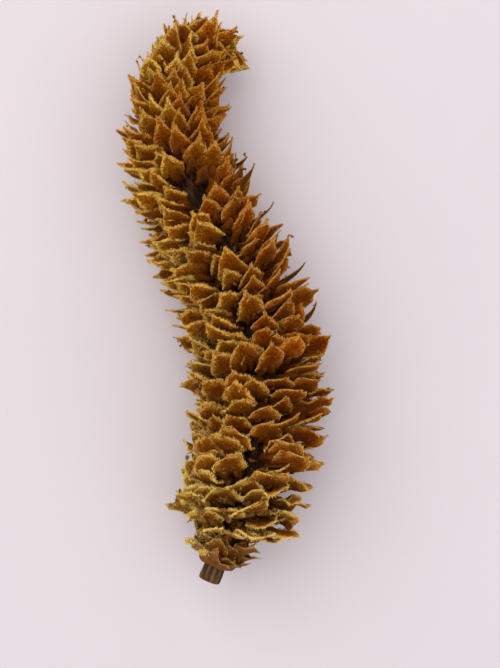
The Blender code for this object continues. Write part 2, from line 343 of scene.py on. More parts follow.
def copies_object(name, points, faces, attributes, material, replaced="pollen_cone"):
    """One piece from many small copies: points is (copies, k, 3), faces those of one copy, and each
    attribute has one value a copy."""
    copies, k, _ = points.shape
    triangles = (k * np.arange(copies)[:, None, None] + faces[None]).reshape(-1, 3)
    columns = {key: np.repeat(value, k) for key, value in attributes.items()}
    mesh_object(name, points.reshape(-1, 3), NO_QUADS, triangles, columns, material, replaced)


def random_directions(rng, count):
    """Directions spread evenly over a sphere."""
    return unit(rng.normal(size=(count, 3)))


def square_to(direction, rng):
    """Two directions at right angles to each given one and to each other, turned at random round it."""
    first = unit(np.cross(direction, random_directions(rng, len(direction))))
    return first, np.cross(direction, first)


HAIR_SIDES = 3
HAIR_FACES = np.array([(0, 2, 1), (0, 1, 3), (1, 2, 3), (2, 0, 3)])


def hairs(base, direction, length, radius, rng):
    """Fine hairs, (hairs, 4, 3): each is a pyramid on a three-sided foot, with its point at the base
    plus length times direction."""
    first, second = square_to(direction, rng)
    angles = circle(HAIR_SIDES)
    foot = np.cos(angles)[:, None] * first[:, None] + np.sin(angles)[:, None] * second[:, None]
    foot = base[:, None] + radius[:, None, None] * foot
    tip = base + length[:, None] * direction
    points = np.concatenate([foot, tip[:, None]], 1)
    points[..., 2] = np.maximum(points[..., 2], HAIR_CLEARANCE_MM)
    return points


BEAD_FACES = np.array([
    (0, 2, 4), (2, 1, 4), (1, 3, 4), (3, 0, 4), (2, 0, 5), (1, 2, 5), (3, 1, 5), (0, 3, 5),
])
BEAD_ARM = (0.66, 1.2)


def beads(centre, radius, rng):
    """Small grains, (grains, 6, 3): each is an eight-sided bead, turned at random, whose six arms are
    random shares of the radius within BEAD_ARM."""
    first = random_directions(rng, len(centre))
    second, third = square_to(first, rng)
    arms = np.stack([first, -first, second, -second, third, -third], 1)
    spread = radius[:, None] * rng.uniform(*BEAD_ARM, (len(centre), 6))
    points = centre[:, None] + spread[..., None] * arms
    points[..., 2] = np.maximum(points[..., 2], HAIR_CLEARANCE_MM)
    return points


def on_skin(skin, copy, row, spot):
    """Points on the tubes' skins, with the outward normal and the direction along the tube there. row
    and spot are places along and round the skin in grid steps, and the four nearest points are mixed."""
    around = skin.shape[2]
    r, a = np.floor(row).astype(int), np.floor(spot).astype(int)
    u, v = (row - r)[:, None], (spot - a)[:, None]
    here, after = a % around, (a + 1) % around
    low_here, low_after = skin[copy, r, here], skin[copy, r, after]
    high_here, high_after = skin[copy, r + 1, here], skin[copy, r + 1, after]
    low = low_here + v * (low_after - low_here)
    high = high_here + v * (high_after - high_here)
    across = (1.0 - u) * (low_after - low_here) + u * (high_after - high_here)
    along = high - low
    return low + u * along, unit(np.cross(along, across)), unit(along)


# A blade's path, in shares of its length: half the reach of the bend, and the curl beyond it.
BEND_REACH = 0.22
CURL_START = 0.1
CURL_REACH = 0.5
CURL_POWER = 1.5
# A blade's width: where it starts to widen and is widest, how wide its point is, and the least of it.
WIDENING_START = 0.2
SHOULDER_SHARE = 0.55
POINT_WIDTH = 0.8
FULL_POINT = 0.3
POINT_FALL = 0.93
LEAST_POINT = 0.02
TAPER_END = 0.985
LEAST_WIDTH = 0.07
JOIN_POWER = 4
# How the ruffles and the lobes of a blade's end turn across it, in radians for each half width.
RUFFLE_LEAN = 1.5
LOBE_WAVE = 4.5
# Thickness from the root over the thin place of the stalk and the shoulder to the tip.
THIN_PLACE = 0.25
THICKNESS_SHARES = (2.4, 1.6, 1.0, 0.8)


class Blades:
    """Leaf-like plates, each a path in the plane of its outward and forward directions, given a width.

    The path starts at the root, leaves at the stalk's rise and turns smoothly to the blade's rise, then
    by the curl on to its tip. Across it the plate is cupped by its half width times x squared, and its
    skin is a flattened circle: x is the cosine and the thickness goes with the sine of one angle.
    """

    def __init__(self, root, outward, forward, measures, along, shoulder=SHOULDER_SHARE):
        """measures has one value a blade for each name; along is the row places, from 0 at the root to 1."""
        self.root, self.outward, self.forward = root, outward, forward
        self.across = np.cross(forward, outward)
        self.m, self.along, self.shoulder = measures, along, shoulder
        self._walk()

    def _walk(self):
        """The path's points and directions at each row, summed from the root in steps of the rows."""
        m, s = self.m, self.along
        length = m["stalk"] + m["blade"]
        knee = (m["stalk"] / length)[:, None]
        bent = soft_step((s - knee + BEND_REACH) / (2.0 * BEND_REACH))
        curl = np.maximum(s - knee - CURL_START, 0.0) / CURL_REACH
        rise = m["stalk_rise"][:, None] + (m["blade_rise"] - m["stalk_rise"])[:, None] * bent
        rise = rise + m["curl"][:, None] * curl**CURL_POWER
        middle = 0.5 * (rise[:, 1:] + rise[:, :-1])
        step = length[:, None] * np.diff(s)
        zero = np.zeros((len(length), 1))
        out = np.concatenate([zero, np.cumsum(np.cos(middle) * step, 1)], 1)[..., None]
        ahead = np.concatenate([zero, np.cumsum(np.sin(middle) * step, 1)], 1)[..., None]
        sway = (m["sway"] * m["width"])[:, None, None] * soft_step(s)[None, :, None]
        o, f, a = self.outward[:, None], self.forward[:, None], self.across[:, None]
        self.path = self.root[:, None] + out * o + ahead * f + sway * a
        cos, sin = np.cos(rise)[..., None], np.sin(rise)[..., None]
        self.tangent = cos * o + sin * f
        inner = cos * f - sin * o
        twist = (m["twist"][:, None] * soft_step(s))[..., None]
        self.wide = np.cos(twist) * a + np.sin(twist) * inner
        self.inner = np.cos(twist) * inner - np.sin(twist) * a

    def tip_share(self):
        """How far each row is from the shoulder, 0, to the tip, 1."""
        return np.clip((self.along - self.shoulder) / (1.0 - self.shoulder), 0.0, 1.0)

    def half_width(self):
        """Half width at each row: a narrow stalk that widens smoothly to the shoulder, times a taper. Up to
        the point's start it is (1 minus u to a power) to another power, where u is the share of the way
        there, and it fades out over the point, whose own width falls evenly to the tip. The larger of
        both counts, joined smoothly as the fourth root of the sum of fourth powers."""
        m, s = self.m, self.along
        half = 0.5 * m["width"][:, None]
        stalk = m["stalk_width"][:, None]
        widening = soft_step((s - WIDENING_START) / (self.shoulder - WIDENING_START))
        way = self.tip_share()
        u = np.minimum(TAPER_END * way / (1.0 - m["point"][:, None]), TAPER_END)
        body = (1.0 - u ** m["taper_power"][:, None]) ** m["taper_softness"][:, None]
        point = POINT_WIDTH * (m["point"] / FULL_POINT)[:, None] * (1.0 - POINT_FALL * way)
        body = body * soft_step((1.0 - way) / np.maximum(m["point"], LEAST_POINT)[:, None])
        powers = body**JOIN_POWER + point**JOIN_POWER + LEAST_WIDTH**JOIN_POWER
        return (stalk + (half - stalk) * widening) * powers ** (1.0 / JOIN_POWER)

    def surface(self, x, ragged):
        """Points of the middle surface at x from -1 to 1 across each row. ragged is (blades, rows, 2): how
        far the left and the right margin stray, as a share of the half width. The end is lobed by a sine
        of x, and the margins ruffled by a sine of the place along."""
        m = self.m
        half = self.half_width()[..., None]
        stray = np.where(x < 0.0, ragged[..., :1], ragged[..., 1:])
        phase = m["phase"][:, None, None]
        wave = m["wave"][:, None, None] * self.along[None, :, None] + phase + RUFFLE_LEAN * x
        ruffle = m["ruffle"][:, None, None] * np.sin(wave)
        cup = m["cup"][:, None, None] * half * x**2 + half * ruffle * np.abs(x) ** 3
        lobe = 0.5 * (m["lobe"] * m["width"])[:, None, None] * self.tip_share()[None, :, None] ** 2
        lobe = lobe * np.sin(LOBE_WAVE * x + 2.0 * phase)
        points = self.path[:, :, None] + (half * x * (1.0 + stray))[..., None] * self.wide[:, :, None]
        points = points + cup[..., None] * self.inner[:, :, None]
        return points + lobe[..., None] * self.tangent[:, :, None]

    def skin(self, around, ragged, hollow=0.6, fullness=0.5):
        """The closed skin, (blades, rows, around, 3), and x at each of its points. The thickness is stout at
        the stalk, and the outer face is hollowed by a share of it times 1 minus x squared, squared."""
        theta = circle(around)
        x = np.broadcast_to(np.cos(theta), (*ragged.shape[:2], around))
        points = self.surface(x, ragged)
        dish = 1.0 - hollow * np.clip(np.sin(theta), 0.0, 1.0) * (1.0 - np.cos(theta) ** 2) ** 2
        swell = np.sign(np.sin(theta)) * np.abs(np.sin(theta)) ** fullness * dish
        places = (0.0, THIN_PLACE, self.shoulder, 1.0)
        thick = self.m["thickness"][:, None] * np.interp(self.along, places, THICKNESS_SHARES)
        points = points - (thick[..., None] * swell)[..., None] * self.inner[:, :, None]
        points[..., 2] = above_floor(points[..., 2])
        return points, x

    def along_path(self, place):
        """The path's points and its sideways and inner directions at places along it, one row of places
        for all blades: (blades, places, 3) each, mixed from the two nearest rows."""
        row = np.clip(np.searchsorted(self.along, place, "right") - 1, 0, len(self.along) - 2)
        part = ((place - self.along[row]) / (self.along[row + 1] - self.along[row]))[None, :, None]
        return tuple(
            (1.0 - part) * values[:, row] + part * values[:, row + 1]
            for values in (self.path, self.wide, self.inner)
        )


def strays(rng, count):
    """A function that gives every copy a random amount of its own, evenly from minus to plus its size."""
    return lambda amount: amount * rng.uniform(-1.0, 1.0, count)


def drawn(table, stray):
    """The measures of a table, each its middle value plus a stray, in the table's order."""
    return {name: middle + stray(most) for name, (middle, most) in table.items()}


# The pollen scales' own measures, and the most that one strays from them to either side. A stray is a
# share of the measure, but an angle's is in degrees, and those from sway to the wave are added as they are.
ROOT_DEPTH_MM = 0.9
STALK_HALF_WIDTH_MM = 0.42
RIGHT_FLANK_DROP = 1.4
SCALE_CUP = 0.05
SCALE_RUFFLE = 0.12
SCALE_WAVE = 14.0
SIZE_STRAY = 0.14
TURN_STRAY_DEG = 9.0
STALK_RISE_STRAY_DEG = 5.0
BLADE_RISE_STRAY_DEG = 12.0
CURL_STRAY_DEG = 28.0
WIDTH_STRAY = 0.16
TAPER_STRAY = 0.28
POINT_STRAY = 0.6
SWAY_STRAY = 0.22
TWIST_STRAY_DEG = 25.0
CUP_STRAY = 0.24
RUFFLE_STRAY = 0.11
WAVE_STRAY = 6.0
LOBE_STRAY = 0.6
THICKNESS_STRAY = 0.2
# How much more the scales stray at the tip than at the foot.
WILDER_AT_TIP = 0.9
TURNED_AT_TIP = 0.5


def pollen_scale_measures(share, turn, rng):
    """Measures of every pollen scale, with a little of its own for each. The blades rise less by the
    flank drop times the squared sine of the turn and are twisted by the flank twist times its sine, and
    those nearer the tip stray more."""
    count = len(share)
    stray = strays(rng, count)
    size = 1.0 + stray(SIZE_STRAY)
    wild = 1.0 + WILDER_AT_TIP * share
    side = np.where(np.sin(turn) > 0.0, RIGHT_FLANK_DROP, 1.0)
    drop = at_stations(share, FLANK_DROP_DEG) * side * np.sin(turn) ** 2
    return {
        "root": at_stations(share, STEM_RADIUS_MM) - ROOT_DEPTH_MM,
        "stalk": size * at_stations(share, STALK_LENGTH_MM),
        "blade": size * at_stations(share, BLADE_LENGTH_MM),
        "stalk_rise": np.radians(at_stations(share, STALK_RISE_DEG) + stray(STALK_RISE_STRAY_DEG)),
        "blade_rise": np.radians(
            at_stations(share, BLADE_RISE_DEG) - drop + stray(BLADE_RISE_STRAY_DEG) * wild
        ),
        "curl": np.radians(at_stations(share, TIP_CURL_DEG) + stray(CURL_STRAY_DEG)),
        "width": at_stations(share, SCALE_WIDTH_MM) * (1.0 + stray(WIDTH_STRAY)),
        "stalk_width": np.full(count, STALK_HALF_WIDTH_MM),
        "taper_power": at_stations(share, TAPER_POWER) * (1.0 + stray(TAPER_STRAY)),
        "taper_softness": at_stations(share, TAPER_SOFTNESS) * (1.0 + stray(TAPER_STRAY)),
        "point": at_stations(share, POINT_SHARE) * (1.0 + stray(POINT_STRAY)),
        "sway": stray(SWAY_STRAY),
        "twist": np.radians(
            stray(TWIST_STRAY_DEG) * wild - at_stations(share, FLANK_TWIST_DEG) * np.sin(turn)
            + at_stations(share, FOOT_TWIST_DEG) * np.cos(turn)
        ),
        "cup": SCALE_CUP + stray(CUP_STRAY) * wild,
        "ruffle": SCALE_RUFFLE + stray(RUFFLE_STRAY),
        "wave": SCALE_WAVE + stray(WAVE_STRAY),
        "phase": stray(math.pi),
        "lobe": at_stations(share, LOBE_SHARE) * (1.0 + stray(LOBE_STRAY)),
        "thickness": at_stations(share, HALF_THICKNESS_MM) * (1.0 + stray(THICKNESS_STRAY)),
    }


# The middle of a blade lies this far outwards and forwards of its stalk's end.
BLADE_OUT_MM = 1.0
BLADE_AHEAD_MM = 1.6


def blade_middle(centre, outward, forward, reach):
    """About the middle of each blade, whose stalk ends at this reach from the stem's middle line."""
    return centre + (reach[:, None] + BLADE_OUT_MM) * outward + BLADE_AHEAD_MM * forward


def parted(line, distance, turn, reach):
    """Distances and turns of the scales, leant away from the gaps, and which scales are kept. Each gap
    pushes a blade off by a bell of its distance, the push is split into a step along the stem and a turn
    round it, and a blade that grew in the middle of a gap is lost."""
    centre, forward, up, side = line.frame(distance)
    outward = spoke(turn, up, side)
    around = spoke(turn, side, -up)
    middle = blade_middle(centre, outward, forward, reach)
    facing = soft_step(2.0 * outward[:, 2])
    push = np.zeros((len(distance), 3))
    lost = np.zeros(len(distance), bool)
    for x, y, radius in GAPS_MM:
        away = middle[:, :2] - (x, y)
        far = np.linalg.norm(away, axis=1)
        amount = GAP_PUSH_MM * facing * np.exp(-((far / radius) ** 2)) / np.maximum(far, 0.1)
        push[:, :2] += amount[:, None] * away
        lost |= (far < LOST_SHARE * radius) & (facing > 0.5)
    return distance + np.sum(push * forward, 1), turn + np.sum(push * around, 1) / reach, ~lost


UPPER_SIDE_MM = 5.0
FAR_OFF_MM = 9.0


def distance_above(middle, place):
    """Distance of each scale from a place, seen from above. Scales of the underside count as far off."""
    underside = np.where(middle[:, 2] > UPPER_SIDE_MM, 0.0, FAR_OFF_MM)
    return np.linalg.norm(middle[:, :2] - place, axis=1) + underside


# How much narrower, longer, more cupped and more curled a furled scale is.
FURL_NARROWER = 0.74
FURL_LONGER = 0.4
FURL_CUP = 0.8
FURL_CURL = math.radians(40.0)


def furl(measures, middle):
    """The scale nearest to each furled place is narrow, rolled up across, long and hooked. Its neighbours
    are a little so, by a bell of the distance. The one nearest to each long place only gets another
    length."""
    for x, y, z, factor in LONG_PLACES_MM:
        nearest = np.argmin(np.linalg.norm(middle - (x, y, z), axis=1))
        measures["blade"][nearest] *= factor
    amount = np.zeros(len(middle))
    for place in FURLED_PLACES_MM:
        far = distance_above(middle, place)
        amount = np.maximum(amount, np.exp(-((far / FURLED_REACH_MM) ** 2)))
        amount[np.argmin(far)] = 1.0
    measures["width"] = measures["width"] * (1.0 - FURL_NARROWER * amount)
    measures["blade"] = measures["blade"] * (1.0 + FURL_LONGER * amount)
    measures["point"] = measures["point"] * (1.0 + amount)
    measures["cup"] = measures["cup"] + FURL_CUP * amount
    measures["curl"] = measures["curl"] + FURL_CURL * amount
    measures["furled"] = amount


LEAST_STALK_MM = 0.3


def shorten_over_floor(m, outward, height):
    """A scale that points down keeps only the stalk that fits between the stem and the floor. m is the
    scales' measures."""
    reach = m["root"] + m["stalk"] * np.cos(m["stalk_rise"]) + m["blade"] * np.cos(m["blade_rise"])
    room = (height + FLOOR_PRESS_MM) / np.maximum(-outward[:, 2], 1e-6)
    extra = np.where(outward[:, 2] < 0.0, np.maximum(reach - room, 0.0), 0.0)
    m["stalk"] = np.maximum(m["stalk"] - extra / np.cos(m["stalk_rise"]), LEAST_STALK_MM)


SCALE_ROWS = np.array([0.0, 0.16, 0.3, 0.42, 0.52, 0.6, 0.68, 0.76, 0.84, 0.91, 0.965, 1.0])
SCALE_AROUND = 14


def pollen_scales(line, rng):
    """All pollen scales as blades in one golden-angle spiral, and the share of the way of each."""
    distance, share = spiral(line)
    strayed = strays(rng, len(share))(math.radians(TURN_STRAY_DEG)) * (1.0 + TURNED_AT_TIP * share)
    turn = GOLDEN_ANGLE * np.arange(len(share)) + strayed
    measures = pollen_scale_measures(share, turn, rng)
    distance, turn, kept = parted(line, distance, turn, measures["root"] + measures["stalk"])
    measures = {key: value[kept] for key, value in measures.items()}
    centre, forward, up, side = line.frame(distance[kept])
    outward = spoke(turn[kept], up, side)
    furl(measures, blade_middle(centre, outward, forward, measures["root"] + measures["stalk"]))
    root = centre + measures["root"][:, None] * outward
    shorten_over_floor(measures, outward, centre[:, 2])
    return Blades(root, outward, forward, measures, SCALE_ROWS), share[kept]


WANDER_KNOTS = 5
WANDER_SHARE = 0.75
JAG_SHARE = 0.5


def margin_strays(amount, rows, rng):
    """How far both margins stray at each row, (blades, rows, 2), as a share of the half width: a wander
    that is random at its knots and straight between them, and a finer jag at each row."""
    weights = np.maximum(1.0 - np.abs((WANDER_KNOTS - 1) * rows - np.arange(WANDER_KNOTS)[:, None]), 0.0)
    wander = np.swapaxes(rng.uniform(-1.0, 1.0, (len(amount), 2, WANDER_KNOTS)) @ weights, 1, 2)
    jag = rng.uniform(-1.0, 1.0, (len(amount), len(rows), 2))
    return amount[:, None, None] * (WANDER_SHARE * wander + JAG_SHARE * jag)


# How much paler rims and fringes are on the left flank: painted highlight of the lit side.
LEFT_FLANK_RIM_HIGHLIGHT = 0.35


def pale_highlit_rims(share, outward):
    """How pale a scale's rim and fringe are, read from the table at the stations, partly their own colour
    and partly painted highlight, and paler on the left flank than on the right as painted highlight of the
    lit side.
    """
    return np.clip(at_stations(share, RIM_PALENESS_AND_HIGHLIGHT) - LEFT_FLANK_RIM_HIGHLIGHT * outward[:, 0], 0.0, 1.0)


MARGIN_REACH_MM = 1.3
MARGIN_START = 0.3
MARGIN_FADE = 0.2
# How much of LOW_TINT goes into the tone and into the hue.
TONE_SHARE = 0.30
HUE_SHARE = 0.35
# How fast the olive, lighter left flank fades to the right; its lightness is painted light of the lit side.
OLIVE_LIT_FLANK_SLOPE = 0.7


def pollen_scale_skin(blades, share, rng):
    """The scales' skins and what the material needs of them: how near the margin a point is, 1 at it and 0
    from MARGIN_REACH_MM inwards, how far along and across, how worn, and each scale's own tone, hue, share
    of the olive, lighter left flank (partly painted light of the lit side), furl, and how pale its rim is
    (partly painted highlight)."""
    skin, x = blades.skin(SCALE_AROUND, margin_strays(at_stations(share, RAGGED_SHARE), SCALE_ROWS, rng))
    half = blades.half_width()[..., None]
    length = (blades.m["stalk"] + blades.m["blade"])[:, None, None]
    inside = np.minimum(half * (1.0 - np.abs(x)), length * (1.0 - SCALE_ROWS)[None, :, None])
    margin = 1.0 - np.clip(inside / MARGIN_REACH_MM, 0.0, 1.0)
    low = at_stations(share, LOW_TINT)
    by_scale = {
        "tone": np.clip(rng.uniform(0.0, 1.0, len(share)) + TONE_SHARE * low, 0.0, 1.0),
        "hue": np.clip(rng.uniform(0.0, 1.0, len(share)) + HUE_SHARE * low, 0.0, 1.0),
        # Olive and lighter on the left flank: partly own colour, partly painted light of the lit side.
        "olive_lit_flank": soft_step(0.5 - OLIVE_LIT_FLANK_SLOPE * blades.outward[:, 0]),
        "furled": blades.m["furled"],
        # How pale the rim is: partly its own colour, partly painted highlight, most on the left flank.
        "light": pale_highlit_rims(share, blades.outward),
    }
    foot = WORN_FOOT * (1.0 - share / WORN_FOOT_SHARE)[:, None, None]
    by_point = {
        "margin": margin * soft_step((SCALE_ROWS - MARGIN_START) / MARGIN_FADE)[None, :, None],
        "along": np.broadcast_to(SCALE_ROWS[None, :, None], x.shape),
        "across": x * half,
        "worn": np.maximum(worn_share(skin), foot),
    }
    return skin, by_point | {key: value[:, None, None] for key, value in by_scale.items()}


# The shares of the way that each piece of scales covers.
PIECE_REACHES = {"lower": (-1.0, 0.3), "middle": (0.3, 0.65), "upper": (0.65, 2.0)}


def pollen_scale_pieces(skin, attributes, share, material):
    """The scales' skins in three pieces, lower, middle and upper."""
    for name, (low, high) in PIECE_REACHES.items():
        kept = (share > low) & (share <= high)
        part = {key: value[kept] for key, value in attributes.items()}
        tubes_object(f"pollen_scales_{name}", skin[kept], part, material)


HAIRS_PER_SCALE = 88
HAIR_LENGTH_MM = (0.13, 0.36)
HAIR_RADIUS_MM = (0.026, 0.042)
# Where the fringe starts along a scale, and where it ends.
FRINGE_START = 0.36
FRINGE_REACH = 0.639
# How much more often the lowest scales are chosen than those of the tip.
MORE_AT_FOOT = 1.5


def margin_hairs(skin, share, rim_highlit_share, rng, material):
    """The fringe of each scale: hairs at random places of both margins, square to the outline there and
    leaning more and more to the tip. The lowest scales have the most and the longest."""
    scales, rows, around, _ = skin.shape
    count = HAIRS_PER_SCALE * scales
    weight = 1.0 + MORE_AT_FOOT * (1.0 - share) ** 4
    scale = rng.choice(scales, count, p=weight / weight.sum())
    place = FRINGE_START + FRINGE_REACH * rng.random(count) ** 0.8
    row = (rows - 1) * place
    right = rng.random(count) < 0.5
    base, _, along = on_skin(skin, scale, row, np.where(right, 0.0, around / 2))
    r = np.floor(row).astype(int)
    face = skin[scale, r, around // 4] - skin[scale, r, 3 * around // 4]
    outline = np.cross(along, unit(face)) * np.where(right, 1.0, -1.0)[:, None]
    lean = (0.25 + 0.9 * place**4)[:, None]
    direction = unit(0.8 * unit(outline) + lean * along + 0.45 * random_directions(rng, count))
    low = 1.0 - share[scale]
    length = rng.uniform(*HAIR_LENGTH_MM, count) * (0.8 + 0.3 * low + 0.5 * low**4)
    radius = rng.uniform(*HAIR_RADIUS_MM, count) * (0.8 + 0.3 * low + 0.4 * low**4)
    points = hairs(base, direction, length, radius, rng)
    worn = np.maximum(worn_share(base), 0.8 * low**4)
    attributes = {"tone": rng.random(count), "worn": worn, "light": rim_highlit_share[scale]}
    copies_object("margin_hairs", points, HAIR_FACES, attributes, material)


NAP_PER_SCALE = 30
NAP_ROWS = (0.4, 0.999)
NAP_LENGTH_MM = (0.05, 0.12)
NAP_RADIUS_MM = (0.020, 0.034)


def nap_hairs(skin, rim_highlit_share, rng, material):
    """The nap of the blades: short hairs on both faces, standing on the skin and leaning to the tip. They
    are a little darker than the fringe."""
    scales, rows, around, _ = skin.shape
    count = NAP_PER_SCALE * scales
    scale = np.repeat(np.arange(scales), NAP_PER_SCALE)
    row = (rows - 1) * rng.uniform(*NAP_ROWS, count)
    base, normal, along = on_skin(skin, scale, row, rng.uniform(0.0, around, count))
    direction = unit(0.8 * normal + 0.5 * along + 0.6 * random_directions(rng, count))
    length = rng.uniform(*NAP_LENGTH_MM, count)
    radius = rng.uniform(*NAP_RADIUS_MM, count)
    points = hairs(base, direction, length, radius, rng)
    tone = 0.8 * rng.random(count) - 0.4
    attributes = {"tone": tone, "worn": worn_share(base), "light": rim_highlit_share[scale]}
    copies_object("nap_hairs", points, HAIR_FACES, attributes, material)


CRUMB_COUNT = 13500
BUD_CRUMB_COUNT = 2800
CRUMB_ROWS = (0.3, 0.999)
CRUMB_RADIUS_MM = 0.026
CRUMB_GROWTH_MM = 0.05
CLUMP_HEIGHT_MM = 0.45
# Random places tried for each crumb and each flake, of which the chance keeps some.
CRUMB_TRIES = 24
FLAKE_TRIES = 40


def crumbs(name, skin, low, count, rng, material, replaced="pollen_cone"):
    """Crumbs of spent pollen caught on a skin: beads kept more often where the cone is worn and lower
    down, and heaped up in the clumps. low is how low down each copy is, from 0 at the tip to 1."""
    copies, rows, around, _ = skin.shape
    tries = CRUMB_TRIES * count
    copy = rng.integers(0, copies, tries)
    row = (rows - 1) * rng.uniform(*CRUMB_ROWS, tries)
    centre, normal, _ = on_skin(skin, copy, row, rng.uniform(0.0, around, tries))
    worn, clump = worn_share(centre), clump_share(centre)
    chance = 0.008 + 0.02 * low[copy] + 0.13 * worn**2 + 0.9 * clump**2
    kept = np.flatnonzero(rng.random(tries) < chance)[:count]
    count, clump = len(kept), clump[kept]
    radius = CRUMB_RADIUS_MM + CRUMB_GROWTH_MM * rng.random(count) ** 3
    radius = radius + CRUMB_GROWTH_MM * clump * rng.random(count)
    lift = 0.5 * radius + CLUMP_HEIGHT_MM * clump * rng.random(count) ** 2
    points = beads(centre[kept] + lift[:, None] * normal[kept], radius, rng)
    attributes = {"tone": rng.random(count), "worn": np.maximum(worn[kept], clump)}
    copies_object(name, points, BEAD_FACES, attributes, material, replaced)


SAC_RINGS = 7
SAC_AROUND = 10
# Where a sac lies along its scale, the part of its sine that is used, its radius and its step aside.
SAC_REACH = (0.12, 0.56)
SAC_PART = (0.04, 0.96)
SAC_RADIUS_MM = 0.43
SAC_ASIDE_MM = 0.46
SLIT_WIDTH = 0.45


def pollen_sacs(blades, rng, material):
    """Two emptied sacs under each stalk: tubes along it whose radius is the root of a sine along them,
    shrunken by sines round them, with a slit along the outer side that is not cut but marked for the
    material, which paints it near-black as painted shade of the opening."""
    count = 2 * len(blades.root)
    stray = strays(rng, count)
    place = np.linspace(*SAC_REACH, SAC_RINGS)
    path, wide, inner = (np.repeat(values, 2, axis=0) for values in blades.along_path(place))
    hand = np.tile((-1.0, 1.0), count // 2)
    theta = circle(SAC_AROUND)
    v = np.linspace(*SAC_PART, SAC_RINGS)[:, None]
    size = SAC_RADIUS_MM * (1.0 + stray(0.35))
    phase = stray(math.pi)[:, None, None]
    shrunk = 1.0 + 0.30 * np.sin(3.0 * theta + phase) + 0.28 * np.sin(2.0 * theta + 11.0 * v - phase)
    radius = size[:, None, None] * np.sqrt(np.sin(math.pi * v)) * shrunk
    aside = (hand * (SAC_ASIDE_MM + stray(0.1)))[:, None, None]
    centre = path + aside * wide - (0.5 * size)[:, None, None] * inner
    grid = centre[:, :, None] + (radius * np.cos(theta))[..., None] * wide[:, :, None]
    grid = grid - (radius * np.sin(theta))[..., None] * inner[:, :, None]
    grid[..., 2] = above_floor(grid[..., 2])
    # Where the slit lies, to be painted near-black as painted shade of the opening.
    slit = np.exp(-(((theta - 0.5 * math.pi) / SLIT_WIDTH) ** 2)) * np.sin(math.pi * v)
    attributes = {
        "slit": slit[None], "tone": rng.random(count)[:, None, None], "worn": worn_share(grid),
    }
    tubes_object("pollen_sacs", grid, attributes, material)


SCRAP_ROWS = np.linspace(0.0, 1.0, 8)
SCRAP_AROUND = 8
SCRAP_SHOULDER = 0.45
SCRAP_RAGGED = 0.35


def scraps(name, root, outward, forward, size, shares, table, margin, worn, rng, material):
    """Curled scraps of tissue: small ruffled blades. shares gives their lengths and widths as shares of
    the size, and table their other measures. worn is a function of the points."""
    count = len(size)
    measures = drawn(table, strays(rng, count))
    measures["width"] = measures["width"] * (shares["width"] * size)
    for key in ("stalk", "blade", "stalk_width"):
        measures[key] = shares[key] * size
    measures["point"] = np.zeros(count)
    blades = Blades(root, outward, forward, measures, SCRAP_ROWS, SCRAP_SHOULDER)
    ragged = SCRAP_RAGGED * rng.uniform(-1.0, 1.0, (count, len(SCRAP_ROWS), 2))
    grid, x = blades.skin(SCRAP_AROUND, ragged, hollow=0.0)
    attributes = {
        "margin": margin * np.abs(x), "tone": rng.random(count)[:, None, None], "worn": worn(grid),
    }
    tubes_object(name, grid, attributes, material)


FLAKE_COUNT = 900
FLAKE_ROOT_ROWS = (0.25, 0.98)
FLAKE_SIZE_MM = (0.62, 0.3)
FLAKE_DEPTH_MM = 0.05
FLAKE_SHARES = {"stalk": 0.2, "blade": 0.65, "width": 0.5, "stalk_width": 0.09}
# Middle value and greatest stray of each measure. Angles are in radians.
FLAKE_MEASURES = {
    "stalk_rise": (0.0, 0.6), "blade_rise": (0.0, 1.4), "curl": (0.0, 1.5), "width": (1.0, 0.3),
    "taper_power": (1.8, 0.6), "taper_softness": (0.7, 0.3), "sway": (0.0, 0.4), "twist": (0.0, 1.4),
    "cup": (0.0, 1.1), "ruffle": (0.5, 0.3), "wave": (12.0, 4.0), "phase": (0.0, math.pi),
    "lobe": (0.3, 0.2), "thickness": (0.022, 0.006),
}


def torn_flakes(skin, share, rng, material):
    """Curled flakes of torn tissue on the scales' skins, kept more often where the cone is worn, and
    larger there."""
    scales, rows, around, _ = skin.shape
    tries = FLAKE_TRIES * FLAKE_COUNT
    scale = rng.integers(0, scales, tries)
    row = (rows - 1) * rng.uniform(*FLAKE_ROOT_ROWS, tries)
    root, normal, along = on_skin(skin, scale, row, rng.uniform(0.0, around, tries))
    chance = 0.015 + 0.008 * (1.0 - share[scale]) + 0.10 * worn_share(root) + 0.5 * clump_share(root)
    kept = np.flatnonzero(rng.random(tries) < chance)[:FLAKE_COUNT]
    count = len(kept)
    root, normal, along = root[kept], normal[kept], along[kept]
    outward = unit(0.7 * normal + 0.5 * along + 0.5 * random_directions(rng, count))
    forward = unit(along - np.sum(along * outward, 1, keepdims=True) * outward)
    worn = worn_share(root)
    size = FLAKE_SIZE_MM[0] + strays(rng, count)(FLAKE_SIZE_MM[1]) + 0.25 * worn
    scraps("torn_flakes", root - FLAKE_DEPTH_MM * outward, outward, forward, size, FLAKE_SHARES,
           FLAKE_MEASURES, 1.0, lambda points: worn[:, None, None], rng, material)


STUB_COUNT = 420
STUB_LAST_SHARE = 0.94
STUB_SIZE_MM = (1.5, 0.7)
STUB_DEPTH_MM = 0.2
STUB_SHARES = {"stalk": 0.5, "blade": 0.8, "width": 0.8, "stalk_width": 0.2}
STUB_MARGIN = 0.8
STUB_MEASURES = {
    "stalk_rise": (0.5, 0.6), "blade_rise": (0.4, 0.9), "curl": (0.0, 1.2), "width": (1.0, 0.4),
    "taper_power": (2.2, 0.8), "taper_softness": (0.6, 0.3), "sway": (0.0, 0.4), "twist": (0.0, 1.0),
    "cup": (0.0, 0.7), "ruffle": (0.4, 0.3), "wave": (12.0, 4.0), "phase": (0.0, math.pi),
    "lobe": (0.3, 0.2), "thickness": (0.05, 0.02),
}
# The widest gap, whose upper side stays bare: across, along and radius.
STUB_BARE_MM = (-3.9, 12.2, 2.6)
STUB_BARE_FACING = 0.2


